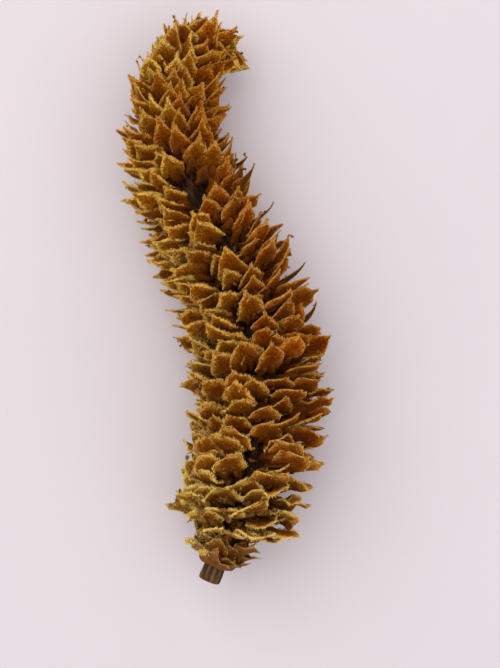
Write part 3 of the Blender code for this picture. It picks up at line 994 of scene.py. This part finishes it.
def torn_stubs(line, rng, material):
    """Torn remains between the scales' feet: short ragged blades rooted on the stem at random places,
    but none on the upper side of the widest gap."""
    distance = rng.uniform(FIRST_SCALE_MM, STUB_LAST_SHARE * line.length, STUB_COUNT)
    turn = rng.uniform(0.0, 2.0 * math.pi, STUB_COUNT)
    centre, forward, up, side = line.frame(distance)
    outward = spoke(turn, up, side)
    x, y, radius = STUB_BARE_MM
    far = np.linalg.norm(centre[:, :2] - (x, y), axis=1)
    kept = (far > radius) | (outward[:, 2] < STUB_BARE_FACING)
    centre, forward, outward = centre[kept], forward[kept], outward[kept]
    foot = at_stations(line.share(distance[kept]), STEM_RADIUS_MM)
    size = STUB_SIZE_MM[0] + strays(rng, len(foot))(STUB_SIZE_MM[1])
    root = centre + (foot - STUB_DEPTH_MM)[:, None] * outward
    scraps("torn_stubs", root, outward, forward, size, STUB_SHARES, STUB_MEASURES, STUB_MARGIN,
           worn_share, rng, material)


STALK_RADIUS_MM = 1.25
# The bare stalk widens to the stem here, over a millimetre.
STALK_END_MM = 4.8
STEM_RINGS = 180
STEM_AROUND = 96
# Rings close to the cut end, and how much narrower they are than the stalk.
CUT_RINGS_MM = (0.0, 0.02, 0.1)
CUT_ROUNDING = (0.86, 0.95, 0.99)
# Furrows: depth as a share of the radius, count round the stem, share of the drift, turn a millimetre.
FURROWS = ((0.030, 8.0, 1.3, 0.0), (0.026, 15.0, -2.1, 0.5), (0.016, 31.0, 1.7, -1.7))
FURROW_CONTRAST = 7.0


def stem_piece(line, material):
    """Stalk and stem: a tube whose radius is a smooth function of the distance, times one plus furrows,
    which are sines of the angle that drift slowly along the stem."""
    distance = np.concatenate([CUT_RINGS_MM, np.linspace(0.3, line.length - 0.05, STEM_RINGS)])
    centre, _, up, side = line.frame(distance)
    radius = at_stations(line.share(distance), STEM_RADIUS_MM)
    grown = soft_step(distance - STALK_END_MM)
    radius = STALK_RADIUS_MM * (1.0 - grown) + radius * grown
    radius[:len(CUT_ROUNDING)] *= CUT_ROUNDING
    d, t = distance[:, None], circle(STEM_AROUND)[None, :]
    drift = 1.4 * np.sin(2.0 * t + 0.45 * d) + 0.9 * np.sin(3.0 * t - 0.8 * d)
    furrows = sum(
        depth * np.sin(number * t + lean * drift + twist * d) for depth, number, lean, twist in FURROWS
    )
    reach = radius[:, None] * (1.0 + furrows)
    grid = centre[:, None] + reach[..., None] * spoke(t, up[:, None], side[:, None])
    cut = np.zeros(reach.shape)
    cut[:2] = 1.0
    attributes = {
        "furrow": 0.5 + FURROW_CONTRAST * furrows[None], "cut": cut[None],
        "bare": 1.0 - grown[None, :, None],
    }
    tubes_object("stem", grid[None], attributes, material)


# The ring that the bud scales grow from.
COLLAR_START_MM = 2.0
COLLAR_END_MM = 3.7
COLLAR_RADIUS_MM = 2.3
COLLAR_PLAY_MM = 0.12
COLLAR_TURNS = 72
COLLAR_SECTION = 14


def bud_collar(line, material):
    """The ridged ring that the bud scales grow from: a closed loop of sections round the stalk, each a
    flattened circle whose outer side is scalloped by a sine of the angle."""
    t, p = circle(COLLAR_TURNS), circle(COLLAR_SECTION)
    middle = 0.5 * (COLLAR_START_MM + COLLAR_END_MM)
    centre, forward, up, side = (value[0] for value in line.frame(np.array([middle])))
    inner, outer = STALK_RADIUS_MM + COLLAR_PLAY_MM, COLLAR_RADIUS_MM
    bulge = 1.0 + 0.07 * np.sin(9.0 * t[:, None] + 0.8 * np.sin(2.0 * t[:, None]))
    radius = 0.5 * (inner + outer) + 0.5 * (outer - inner) * np.cos(p) * bulge
    height = 0.5 * (COLLAR_END_MM - COLLAR_START_MM) * np.sin(p) * (1.0 + 0.06 * np.sin(5.0 * t[:, None]))
    points = centre + radius[..., None] * spoke(t, up, side)[:, None] + height[..., None] * forward
    turn, place = np.arange(COLLAR_TURNS)[:, None], np.arange(COLLAR_SECTION)[None, :]
    next_turn, next_place = (turn + 1) % COLLAR_TURNS, (place + 1) % COLLAR_SECTION
    corners = (COLLAR_SECTION * turn + place, COLLAR_SECTION * turn + next_place,
               COLLAR_SECTION * next_turn + next_place, COLLAR_SECTION * next_turn + place)
    quads = np.stack(corners, -1).reshape(-1, 4)
    attributes = {
        "margin": 0.0, "along": 0.3, "tone": 0.4, "worn": 0.0,
        "across": np.repeat(t * COLLAR_RADIUS_MM, COLLAR_SECTION),
    }
    mesh_object("bud_collar", points.reshape(-1, 3), quads, NO_TRIANGLES, attributes, material,
                "bud_scale_cup")


BUD_ROWS = np.array([0.0, 0.1, 0.2, 0.3, 0.4, 0.5, 0.6, 0.7, 0.78, 0.85, 0.91, 0.96, 1.0])
BUD_AROUND = 20
BUD_SHOULDER = 0.42
BUD_ROOT_MM = 1.55
BUD_RAGGED = 0.34
BUD_POINT = 0.1
# The bud scales round the stalk's foot, in whorls from the top one down.
WHORL_COUNTS = (8, 10, 11)
WHORL_STARTS_MM = (3.6, 3.1, 2.4)
WHORL_LENGTHS_MM = (3.1, 3.3, 3.0)
WHORL_WIDTHS_MM = (2.0, 2.5, 2.6)
WHORL_RISES_DEG = (60.0, 42.0, 20.0)
WHORL_OFFSET = 0.37
# Shares of a bud scale's length that are its stalk and its blade, and of its width at the foot.
BUD_STALK = 0.3
BUD_BLADE = 0.7
BUD_FOOT_WIDTH = 0.33
# Degrees, as the middle value and the greatest stray: the stalk's rise, the blade's above it, the curl.
BUD_STALK_STRAY_DEG = 6.0
BUD_BLADE_RISE_DEG = (14.0, 16.0)
BUD_CURL_DEG = (-6.0, 30.0)
BUD_MEASURES = {
    "taper_power": (2.0, 0.7), "taper_softness": (0.7, 0.25), "sway": (0.0, 0.25), "twist": (0.0, 0.5),
    "cup": (0.26, 0.3), "ruffle": (0.24, 0.16), "wave": (16.0, 6.0), "phase": (0.0, math.pi),
    "lobe": (0.22, 0.16), "thickness": (0.06, 0.012),
}


def bud_scales(line, rng, material):
    """Papery bud scales in three whorls: blades rooted in the collar, evenly spaced in each whorl, with
    one whorl's scales between the next one's. Returns their skins."""
    whorl = np.repeat(np.arange(len(WHORL_COUNTS)), WHORL_COUNTS)
    place = np.concatenate([np.arange(n) / n + WHORL_OFFSET * k for k, n in enumerate(WHORL_COUNTS)])
    count = len(whorl)
    stray = strays(rng, count)

    def by_whorl(values):
        return np.array(values, float)[whorl]

    turn = 2.0 * math.pi * place + stray(0.12)
    centre, forward, up, side = line.frame(by_whorl(WHORL_STARTS_MM))
    outward = spoke(turn, up, side)
    size = 1.0 + stray(0.22)
    rise = by_whorl(WHORL_RISES_DEG)
    measures = {
        "stalk": BUD_STALK * size * by_whorl(WHORL_LENGTHS_MM),
        "blade": BUD_BLADE * size * by_whorl(WHORL_LENGTHS_MM),
        "stalk_rise": np.radians(rise + stray(BUD_STALK_STRAY_DEG)),
        "blade_rise": np.radians(rise + BUD_BLADE_RISE_DEG[0] + stray(BUD_BLADE_RISE_DEG[1])),
        "curl": np.radians(BUD_CURL_DEG[0] + stray(BUD_CURL_DEG[1])),
        "width": by_whorl(WHORL_WIDTHS_MM) * size,
        "stalk_width": BUD_FOOT_WIDTH * by_whorl(WHORL_WIDTHS_MM),
        "point": np.full(count, BUD_POINT),
    }
    measures |= drawn(BUD_MEASURES, stray)
    blades = Blades(centre + BUD_ROOT_MM * outward, outward, forward, measures, BUD_ROWS, BUD_SHOULDER)
    ragged = margin_strays(np.full(count, BUD_RAGGED), BUD_ROWS, rng) * BUD_ROWS[None, :, None]
    grid, x = blades.skin(BUD_AROUND, ragged, hollow=0.0, fullness=0.7)
    attributes = {
        "margin": np.maximum(np.abs(x), blades.tip_share()[None, :, None] ** 3),
        "along": BUD_ROWS[None, :, None],
        "across": x * blades.half_width()[..., None],
        "tone": rng.random(count)[:, None, None],
        "worn": worn_share(grid),
    }
    tubes_object("bud_scales", grid, attributes, material, "bud_scale_cup")
    return grid


class Wires:
    """Short calls for building a node tree: each adds a node, sets its sockets by name or number and
    links those that are given a socket."""

    def __init__(self, tree):
        self.tree = tree

    def add(self, kind, inputs=(), **settings):
        """A new node of this kind."""
        node = self.tree.nodes.new(kind)
        for key, value in settings.items():
            setattr(node, key, value)
        self.feed(node, dict(inputs))
        return node

    def feed(self, node, inputs):
        """Gives sockets their values or links."""
        for key, value in inputs.items():
            if isinstance(value, bpy.types.NodeSocket):
                self.tree.links.new(value, node.inputs[key])
            else:
                node.inputs[key].default_value = value

    def noise(self, vector, scale, detail=3.0, roughness=0.55):
        """Soft noise about 0.5."""
        inputs = {"Vector": vector, "Scale": scale, "Detail": detail, "Roughness": roughness}
        return self.add("ShaderNodeTexNoise", inputs).outputs[0]

    def math(self, operation, first, second):
        """Two numbers joined by one operation."""
        return self.add("ShaderNodeMath", {0: first, 1: second}, operation=operation).outputs[0]

    def plus(self, first, second):
        """The sum of two numbers."""
        return self.math("ADD", first, second)

    def times(self, first, second):
        """The product of two numbers."""
        return self.math("MULTIPLY", first, second)

    def fade(self, value, low, high, start=0.0, end=1.0):
        """A smooth step of the value from start at low to end at high."""
        inputs = {"Value": value, "From Min": low, "From Max": high, "To Min": start, "To Max": end}
        return self.add("ShaderNodeMapRange", inputs, interpolation_type="SMOOTHSTEP").outputs[0]

    def mix(self, share, first, second, blend="MIX"):
        """Two colours mixed by a share."""
        inputs = {0: share, 6: first, 7: second}
        return self.add("ShaderNodeMix", inputs, data_type="RGBA", blend_type=blend).outputs[2]

    def tinted(self, share, colour, tint):
        """A colour that is multiplied by a tint as far as the share says."""
        return self.mix(share, colour, self.mix(1.0, colour, tint, "MULTIPLY"))


FLOAT, COLOUR, VECTOR = "NodeSocketFloat", "NodeSocketColor", "NodeSocketVector"


def node_group(name, inputs, outputs, wire):
    """A shader group with named sockets. wire gets the tree's wires and the group's own inputs, and
    returns what each output gives."""
    tree = bpy.data.node_groups.new(name, "ShaderNodeTree")
    for key, kind in inputs.items():
        tree.interface.new_socket(key, in_out="INPUT", socket_type=kind)
    for key, kind in outputs.items():
        tree.interface.new_socket(key, in_out="OUTPUT", socket_type=kind)
    wires = Wires(tree)
    given = wires.add("NodeGroupInput").outputs
    wires.add("NodeGroupOutput", wire(wires, given))
    return tree


def mottle_group():
    """Two soft noises of the place: broad patches and fine grain, each spread to the full 0 to 1."""

    def wire(w, given):
        patches = w.noise(given["Position"], given["Patch Scale"], 4.0, 0.6)
        grain = w.noise(given["Position"], given["Grain Scale"], 2.0, 0.7)
        return {"Patches": w.fade(patches, 0.32, 0.68), "Grain": w.fade(grain, 0.3, 0.7)}

    inputs = {"Position": VECTOR, "Patch Scale": FLOAT, "Grain Scale": FLOAT}
    return node_group("dry_mottle", inputs, {"Patches": FLOAT, "Grain": FLOAT}, wire)


def fibre_group():
    """Fibres along a blade: noise of the place across it, stretched far along it."""

    def wire(w, given):
        across = w.times(given["Across"], given["Fineness"])
        along = w.times(given["Along"], given["Stretch"])
        place = w.add("ShaderNodeCombineXYZ", {"X": across, "Y": along, "Z": given["Own"]}).outputs[0]
        return {"Fibres": w.fade(w.noise(place, 1.0, 3.0, 0.6), 0.34, 0.66)}

    inputs = {"Across": FLOAT, "Along": FLOAT, "Own": FLOAT, "Fineness": FLOAT, "Stretch": FLOAT}
    return node_group("fibres", inputs, {"Fibres": FLOAT}, wire)


def rim_group():
    """Colour from the middle of a blade to its margin, the bounds blurred by patches and grain."""

    def wire(w, given):
        blur = w.plus(w.times(given["Patches"], 0.30), w.times(given["Grain"], 0.22))
        edge = w.plus(given["Margin Place"], w.math("SUBTRACT", blur, 0.26))
        inside = w.mix(w.fade(edge, 0.10, 0.75), given["Centre"], given["Body"])
        return {"Colour": w.mix(w.fade(edge, given["Rim Start"], 0.94), inside, given["Rim"])}

    inputs = {
        "Margin Place": FLOAT, "Patches": FLOAT, "Grain": FLOAT, "Rim Start": FLOAT,
        "Centre": COLOUR, "Body": COLOUR, "Rim": COLOUR,
    }
    return node_group("rim_tint", inputs, {"Colour": COLOUR}, wire)


def dust_group():
    """Pollen dust: a mask of small round specks by the distance to random points, kept where a broad
    noise is high."""

    def wire(w, given):
        cells = w.add("ShaderNodeTexVoronoi", {"Vector": given["Position"], "Scale": given["Scale"]})
        speck = w.fade(cells.outputs["Distance"], 0.42, 0.12)
        drift = w.noise(given["Position"], w.times(given["Scale"], 0.13), 3.0)
        bound = w.math("SUBTRACT", 0.86, w.times(given["Amount"], 0.5))
        return {"Mask": w.times(speck, w.fade(drift, bound, w.plus(bound, 0.1)))}

    inputs = {"Position": VECTOR, "Scale": FLOAT, "Amount": FLOAT}
    return node_group("pollen_dust", inputs, {"Mask": FLOAT}, wire)


# Each copy's tone, times this, sets its own part of the fibre noise.
OWN_FIBRES = 37.0


class MaterialWires(Wires):
    """Wires of a material, with the shared groups placed on the piece by one call each. Scales are
    counted in a metre."""

    def __init__(self, tree, groups):
        super().__init__(tree)
        self.groups = groups
        self.place = self.add("ShaderNodeTexCoord").outputs["Object"]

    def attribute(self, name):
        """One of the piece's own values."""
        return self.add("ShaderNodeAttribute", attribute_name=name).outputs["Fac"]

    def group(self, name, inputs):
        """A group placed with its own values, as its outputs."""
        node = self.add("ShaderNodeGroup", node_tree=self.groups[name])
        self.feed(node, inputs)
        return node.outputs

    def mottle(self, patch_scale, grain_scale):
        """Patches and grain."""
        inputs = {"Position": self.place, "Patch Scale": patch_scale, "Grain Scale": grain_scale}
        return self.group("mottle", inputs)

    def fibres(self, fineness, stretch):
        """Fibres along each blade, so many a millimetre across and for its length."""
        return self.group("fibres", {
            "Across": self.attribute("across"), "Along": self.attribute("along"),
            "Own": self.times(self.attribute("tone"), OWN_FIBRES), "Fineness": fineness, "Stretch": stretch,
        })["Fibres"]

    def rimmed(self, mottle, start, centre, body, rim):
        """The colours of the middle, the body and the rim, laid out by how near the margin is."""
        return self.group("rim", {
            "Margin Place": self.attribute("margin"), "Patches": mottle["Patches"], "Grain": mottle["Grain"],
            "Rim Start": start, "Centre": centre, "Body": body, "Rim": rim,
        })["Colour"]

    def dust(self, scale, amount=0.5):
        """The mask of pollen dust."""
        return self.group("dust", {"Position": self.place, "Scale": scale, "Amount": amount})["Mask"]

    def worn_dust(self, scale):
        """The mask of pollen dust that is thicker where the piece is worn."""
        return self.dust(scale, self.plus(0.5, self.times(self.attribute("worn"), 0.5)))


def material(name, groups, shader_values, wire):
    """A material whose shader takes fixed values and what wire returns for its other sockets. Height, if
    wire gives it, becomes a bump of Relief metres."""
    made = bpy.data.materials.new(name)
    made.use_nodes = True
    w = MaterialWires(made.node_tree, groups)
    shader = made.node_tree.nodes["Principled BSDF"]
    found = wire(w)
    height, relief = found.pop("Height", None), found.pop("Relief", None)
    if height is not None:
        inputs = {"Height": height, "Distance": relief, "Strength": 1.0}
        found["Normal"] = w.add("ShaderNodeBump", inputs).outputs[0]
    w.feed(shader, shader_values | found)
    return made


def rgb(red, green, blue):
    """A linear colour for a socket."""
    return (red, green, blue, 1.0)


# Middle of the scales: their own red-brown, darkened further as painted dish shade.
SCALE_CENTRE_DISH_SHADE = rgb(0.235, 0.057, 0.002)
SCALE_BODY = rgb(0.42, 0.135, 0.006)
DULL_RIM = rgb(0.68, 0.30, 0.033)
PALE_RIM = rgb(0.95, 0.56, 0.13)
# Dark brown towards the stalk: partly the stalk's own colour, partly painted shade where the scales overlap.
STALK_BROWN_AND_SHADE = rgb(0.24, 0.060, 0.004)
HORN_BROWN = rgb(0.085, 0.026, 0.004)
WORN_STRAW = rgb(0.80, 0.50, 0.085)
DUST_GOLD = rgb(0.80, 0.46, 0.08)
# Left-flank tint: olive, and lighter as painted light of the lit side.
OLIVE_LIT_TINT = rgb(1.04, 1.42, 1.35)
RED_TINT = rgb(0.98, 0.72, 0.58)
STAIN_TINT = rgb(0.58, 0.46, 0.40)
FIBRE_TINT = rgb(0.5, 0.42, 0.4)
DEEP_TINT = rgb(0.66, 0.52, 0.45)
GRAIN_TINTS = (rgb(0.66, 0.57, 0.50), rgb(1.26, 1.28, 1.34))


def scale_material(groups):
    """Dry scales: red-brown middle, darkened further as painted dish shade, tan fringed rim, paler on the
    left flank as painted highlight, olive and lighter on the left flank, partly painted light of the lit
    side, with broad stains and fine fibres, straw where torn, dark towards the stalk, partly brown and
    partly painted shade, and darkest where furled."""

    def wire(w):
        mottle = w.mottle(1100.0, 4800.0)
        patches, grain = mottle["Patches"], mottle["Grain"]
        fibres = w.fibres(5.0, 5.0)
        # Rims run from dull to pale by how pale the rim is: partly own colour, partly painted highlight,
        # most on the left flank.
        rim = w.mix(w.attribute("light"), DULL_RIM, PALE_RIM)
        # Red-brown middle, darker as painted dish shade, blending to body and rim by how near the margin is.
        colour = w.rimmed(mottle, 0.68, SCALE_CENTRE_DISH_SHADE, SCALE_BODY, rim)
        # Olive and lighter on the left flank: partly the scales' own colour, partly painted light of the lit
        # side.
        olive_lit_flank = w.times(w.attribute("olive_lit_flank"), w.fade(patches, 0.0, 1.0, 0.5, 0.95))
        colour = w.tinted(olive_lit_flank, colour, OLIVE_LIT_TINT)
        colour = w.tinted(w.fade(w.attribute("hue"), 0.4, 1.0, 0.0, 0.75), colour, RED_TINT)
        stain = w.fade(w.noise(w.place, 300.0, 3.0, 0.6), 0.50, 0.68, 0.0, 0.55)
        colour = w.tinted(stain, colour, STAIN_TINT)
        colour = w.tinted(w.times(fibres, 0.4), colour, FIBRE_TINT)
        colour = w.mix(1.0, colour, w.mix(grain, *GRAIN_TINTS), "MULTIPLY")
        colour = w.tinted(w.fade(w.attribute("tone"), 0.2, 1.0, 0.0, 0.7), colour, DEEP_TINT)
        # Darker towards the stalk, into the blade's lower half: partly own brown, partly painted shade.
        colour = w.mix(w.fade(w.attribute("along"), 0.22, 0.70, 0.9, 0.0), colour, STALK_BROWN_AND_SHADE)
        colour = w.mix(w.times(w.attribute("furled"), 0.95), colour, HORN_BROWN)
        dust = w.worn_dust(6000.0)
        worn = w.times(w.attribute("worn"), w.fade(patches, 0.1, 0.9, 0.15, 0.9))
        worn = w.times(worn, w.fade(w.attribute("margin"), 0.3, 0.9, 0.15, 1.0))
        colour = w.mix(worn, colour, WORN_STRAW)
        return {
            "Base Color": w.mix(w.times(dust, 0.6), colour, DUST_GOLD),
            "Roughness": w.fade(grain, 0.0, 1.0, 0.8, 1.0),
            "Height": w.plus(w.plus(w.times(grain, 0.8), w.times(fibres, 0.4)), dust),
            "Relief": 0.00007,
        }

    values = {"Specular IOR Level": 0.01, "Sheen Weight": 0.10, "Sheen Roughness": 0.5,
              "Sheen Tint": rgb(1.0, 0.50, 0.10)}
    return material("dry_pollen_scale", groups, values, wire)


DULL_HAIRS = (rgb(0.48, 0.18, 0.016), rgb(0.82, 0.43, 0.085))
PALE_HAIRS = (rgb(0.78, 0.39, 0.055), rgb(1.0, 0.74, 0.25))
HAIR_PATCH = rgb(0.48, 0.18, 0.012)
WORN_HAIR = rgb(0.98, 0.78, 0.25)


def hair_material(groups):
    """Fringe hairs: pale gold, paler where the cone is worn, and paler with their scale's rim, which is
    partly painted highlight, most on the left flank.
    """

    def wire(w):
        mottle = w.mottle(700.0, 6000.0)
        dull = w.mix(w.attribute("tone"), *DULL_HAIRS)
        pale = w.mix(w.attribute("tone"), *PALE_HAIRS)
        # Hairs run from dull to pale by how pale their scale's rim is: partly own colour, partly painted
        # highlight.
        colour = w.mix(w.attribute("light"), dull, pale)
        colour = w.mix(w.times(mottle["Patches"], 0.4), colour, HAIR_PATCH)
        return {
            "Base Color": w.mix(w.attribute("worn"), colour, WORN_HAIR),
            "Roughness": w.fade(mottle["Grain"], 0.0, 1.0, 0.6, 0.9),
        }

    return material("fringe_hair", groups, {"Specular IOR Level": 0.02}, wire)


CRUMBS_TAN_TO_CREAM = (rgb(0.40, 0.15, 0.010), rgb(0.92, 0.62, 0.16))
WORN_CRUMB = rgb(0.98, 0.76, 0.22)


def crumb_material(groups):
    """Spent pollen crumbs: cream to tan."""

    def wire(w):
        colour = w.mix(w.attribute("tone"), *CRUMBS_TAN_TO_CREAM)
        return {
            "Base Color": w.mix(w.times(w.attribute("worn"), 0.75), colour, WORN_CRUMB),
            "Roughness": w.fade(w.mottle(1200.0, 12000.0)["Grain"], 0.0, 1.0, 0.7, 0.95),
        }

    return material("pollen_crumb", groups, {"Specular IOR Level": 0.03}, wire)


TISSUE_CENTRE = rgb(0.28, 0.072, 0.005)
TISSUE_BODY = rgb(0.38, 0.125, 0.009)
TISSUE_RIM = rgb(0.74, 0.48, 0.12)
TISSUE_DEEP = rgb(0.22, 0.058, 0.004)
WORN_TISSUE = rgb(0.74, 0.46, 0.10)
# The sacs' slit: painted shade of the opening.
SLIT_SHADE = rgb(0.05, 0.02, 0.008)


def tissue_material(groups):
    """Emptied sacs and torn flakes: straw with brown stains, a slit painted near-black as painted shade of
    its opening, and pale torn rims.
    """

    def wire(w):
        mottle = w.mottle(1100.0, 9000.0)
        colour = w.rimmed(mottle, 0.6, TISSUE_CENTRE, TISSUE_BODY, TISSUE_RIM)
        colour = w.mix(w.times(w.attribute("tone"), 0.55), colour, TISSUE_DEEP)
        colour = w.mix(w.times(w.attribute("worn"), 0.42), colour, WORN_TISSUE)
        # The slit is painted near-black: painted shade of the opening.
        return {
            "Base Color": w.mix(w.attribute("slit"), colour, SLIT_SHADE),
            "Roughness": w.fade(mottle["Grain"], 0.0, 1.0, 0.65, 0.95),
            "Height": w.plus(mottle["Grain"], w.times(mottle["Patches"], 2.0)),
            "Relief": 0.00009,
        }

    return material("spent_tissue", groups, {"Specular IOR Level": 0.05}, wire)


STEM_FURROW_TO_RIDGE = (rgb(0.030, 0.012, 0.004), rgb(0.110, 0.048, 0.016))
BARK_FURROW_TO_RIDGE = (rgb(0.09, 0.042, 0.016), rgb(0.25, 0.14, 0.055))
CUT_WOOD = (rgb(0.50, 0.33, 0.15), rgb(0.26, 0.14, 0.055))
BARK_TINT = rgb(0.5, 0.45, 0.42)
STEM_DUST = rgb(0.45, 0.28, 0.09)


def stem_material(groups):
    """Stem: nearly black in the furrows and dark brown on the ridges, tan on the bare stalk, and a pale
    blotched cut end."""

    def wire(w):
        mottle = w.mottle(800.0, 7000.0)
        ridge = w.fade(w.attribute("furrow"), 0.3, 0.85)
        bark = w.mix(ridge, *BARK_FURROW_TO_RIDGE)
        colour = w.mix(w.attribute("bare"), w.mix(ridge, *STEM_FURROW_TO_RIDGE), bark)
        colour = w.tinted(w.times(mottle["Patches"], 0.5), colour, BARK_TINT)
        colour = w.mix(w.attribute("cut"), colour, w.mix(mottle["Patches"], *CUT_WOOD))
        dust = w.dust(5000.0)
        return {
            "Base Color": w.mix(w.times(dust, 0.6), colour, STEM_DUST),
            "Roughness": w.fade(mottle["Grain"], 0.0, 1.0, 0.7, 0.95),
            "Height": w.plus(mottle["Grain"], dust),
            "Relief": 0.00008,
        }

    return material("cone_stem", groups, {"Specular IOR Level": 0.15}, wire)


BUD_CENTRE = rgb(0.24, 0.070, 0.006)
BUD_BODY = rgb(0.36, 0.130, 0.011)
BUD_RIM = rgb(0.62, 0.38, 0.09)
BUD_VEIN = rgb(0.13, 0.045, 0.008)
BUD_STAIN = rgb(0.14, 0.058, 0.010)
BUD_DUST = rgb(0.72, 0.48, 0.12)


def bud_material(groups):
    """Bud scales: smooth orange-tan paper with fine veins, grey-brown stains and pale torn rims."""

    def wire(w):
        mottle = w.mottle(600.0, 7000.0)
        veins = w.fibres(7.0, 1.2)
        colour = w.rimmed(mottle, 0.8, BUD_CENTRE, BUD_BODY, BUD_RIM)
        colour = w.mix(w.times(veins, 0.6), colour, BUD_VEIN)
        own = w.fade(w.attribute("tone"), 0.2, 1.0, 0.2, 0.7)
        colour = w.mix(w.times(w.fade(mottle["Patches"], 0.3, 1.0), own), colour, BUD_STAIN)
        dust = w.worn_dust(6500.0)
        return {
            "Base Color": w.mix(w.times(dust, 0.7), colour, BUD_DUST),
            "Roughness": w.fade(mottle["Patches"], 0.0, 1.0, 0.45, 0.75),
            "Height": w.plus(w.plus(w.times(veins, 0.8), w.times(mottle["Grain"], 0.3)), dust),
            "Relief": 0.00005,
        }

    return material("papery_bud_scale", groups, {"Specular IOR Level": 0.15}, wire)


FLOOR_TONES = (rgb(0.795, 0.712, 0.742), rgb(0.810, 0.726, 0.756))


def floor_material(groups):
    """Plain pale floor with a hardly seen tooth."""

    def wire(w):
        mottle = w.mottle(20.0, 900.0)
        return {
            "Base Color": w.mix(mottle["Patches"], *FLOOR_TONES),
            "Roughness": w.fade(mottle["Grain"], 0.0, 1.0, 0.88, 0.94),
        }

    return material("pale_floor", groups, {"Specular IOR Level": 0.2}, wire)


FLOOR_HALF_M = 1.5
SKY_COLOUR = rgb(0.97, 0.98, 1.0)
SKY_STRENGTH = 0.68
# Soft lights: name, place, power in watts and colour.
LIGHTS = (
    ("key", (-150.0, 140.0, 300.0), 0.60, (1.0, 0.985, 0.96)),
    ("fill", (170.0, -40.0, 300.0), 0.22, (0.98, 0.985, 1.0)),
)
LIGHT_SIZE_MM = 400.0
CAMERA_MM = (2.9, -4.25, 220.4)
CAMERA_CLIP_M = 0.01
LENS_MM = 100.0
SENSOR_MM = 36.0


def add_object(name, data):
    """A new object at the origin, linked to the scene."""
    obj = bpy.data.objects.new(name, data)
    bpy.context.scene.collection.objects.link(obj)
    return obj


def floor(groups):
    """The pale floor on z = 0."""
    mesh = bpy.data.meshes.new("floor")
    half = FLOOR_HALF_M
    corners = [(-half, -half, 0.0), (half, -half, 0.0), (half, half, 0.0), (-half, half, 0.0)]
    mesh.from_pydata(corners, [], [(0, 1, 2, 3)])
    mesh.materials.append(floor_material(groups))
    add_object("floor", mesh)


def lighting():
    """A pale even sky, and soft square lights aimed at the middle of the cone."""
    world = bpy.data.worlds.new("studio")
    world.use_nodes = True
    background = world.node_tree.nodes["Background"]
    background.inputs["Color"].default_value = SKY_COLOUR
    background.inputs["Strength"].default_value = SKY_STRENGTH
    bpy.context.scene.world = world
    for name, place, power, colour in LIGHTS:
        data = bpy.data.lights.new(name, "AREA")
        data.energy = power
        data.size = LIGHT_SIZE_MM * MM
        data.color = colour
        lamp = add_object(name, data)
        lamp.location = Vector(place) * MM
        lamp.rotation_euler = (-lamp.location).to_track_quat("-Z", "Y").to_euler()


def camera():
    """The camera, which looks straight down."""
    data = bpy.data.cameras.new("camera")
    data.lens = LENS_MM
    data.sensor_width = SENSOR_MM
    data.clip_start = CAMERA_CLIP_M
    viewer = add_object("camera", data)
    viewer.location = Vector(CAMERA_MM) * MM
    bpy.context.scene.camera = viewer
    bpy.context.scene.view_settings.view_transform = "Standard"


def main():
    """Makes every piece in turn. The random draws follow this order."""
    rng = np.random.default_rng(SEED)
    line = StemLine(STEM_LINE)
    groups = {"mottle": mottle_group(), "fibres": fibre_group(), "rim": rim_group(), "dust": dust_group()}
    tissue, bud = tissue_material(groups), bud_material(groups)
    hair, crumb = hair_material(groups), crumb_material(groups)
    blades, share = pollen_scales(line, rng)
    skin, attributes = pollen_scale_skin(blades, share, rng)
    pollen_scale_pieces(skin, attributes, share, scale_material(groups))
    # How pale each scale's rim and fringe are: partly own colour, partly painted highlight.
    rim_highlit_share = pale_highlit_rims(share, blades.outward)
    margin_hairs(skin, share, rim_highlit_share, rng, hair)
    nap_hairs(skin, rim_highlit_share, rng, hair)
    pollen_sacs(blades, rng, tissue)
    torn_flakes(skin, share, rng, tissue)
    torn_stubs(line, rng, tissue)
    crumbs("pollen_crumbs", skin, 1.0 - share, CRUMB_COUNT, rng, crumb)
    stem_piece(line, stem_material(groups))
    bud_collar(line, bud)
    bud_skin = bud_scales(line, rng, bud)
    crumbs("bud_crumbs", bud_skin, np.ones(len(bud_skin)), BUD_CRUMB_COUNT, rng, crumb, "bud_scale_cup")
    floor(groups)
    lighting()
    camera()


main()
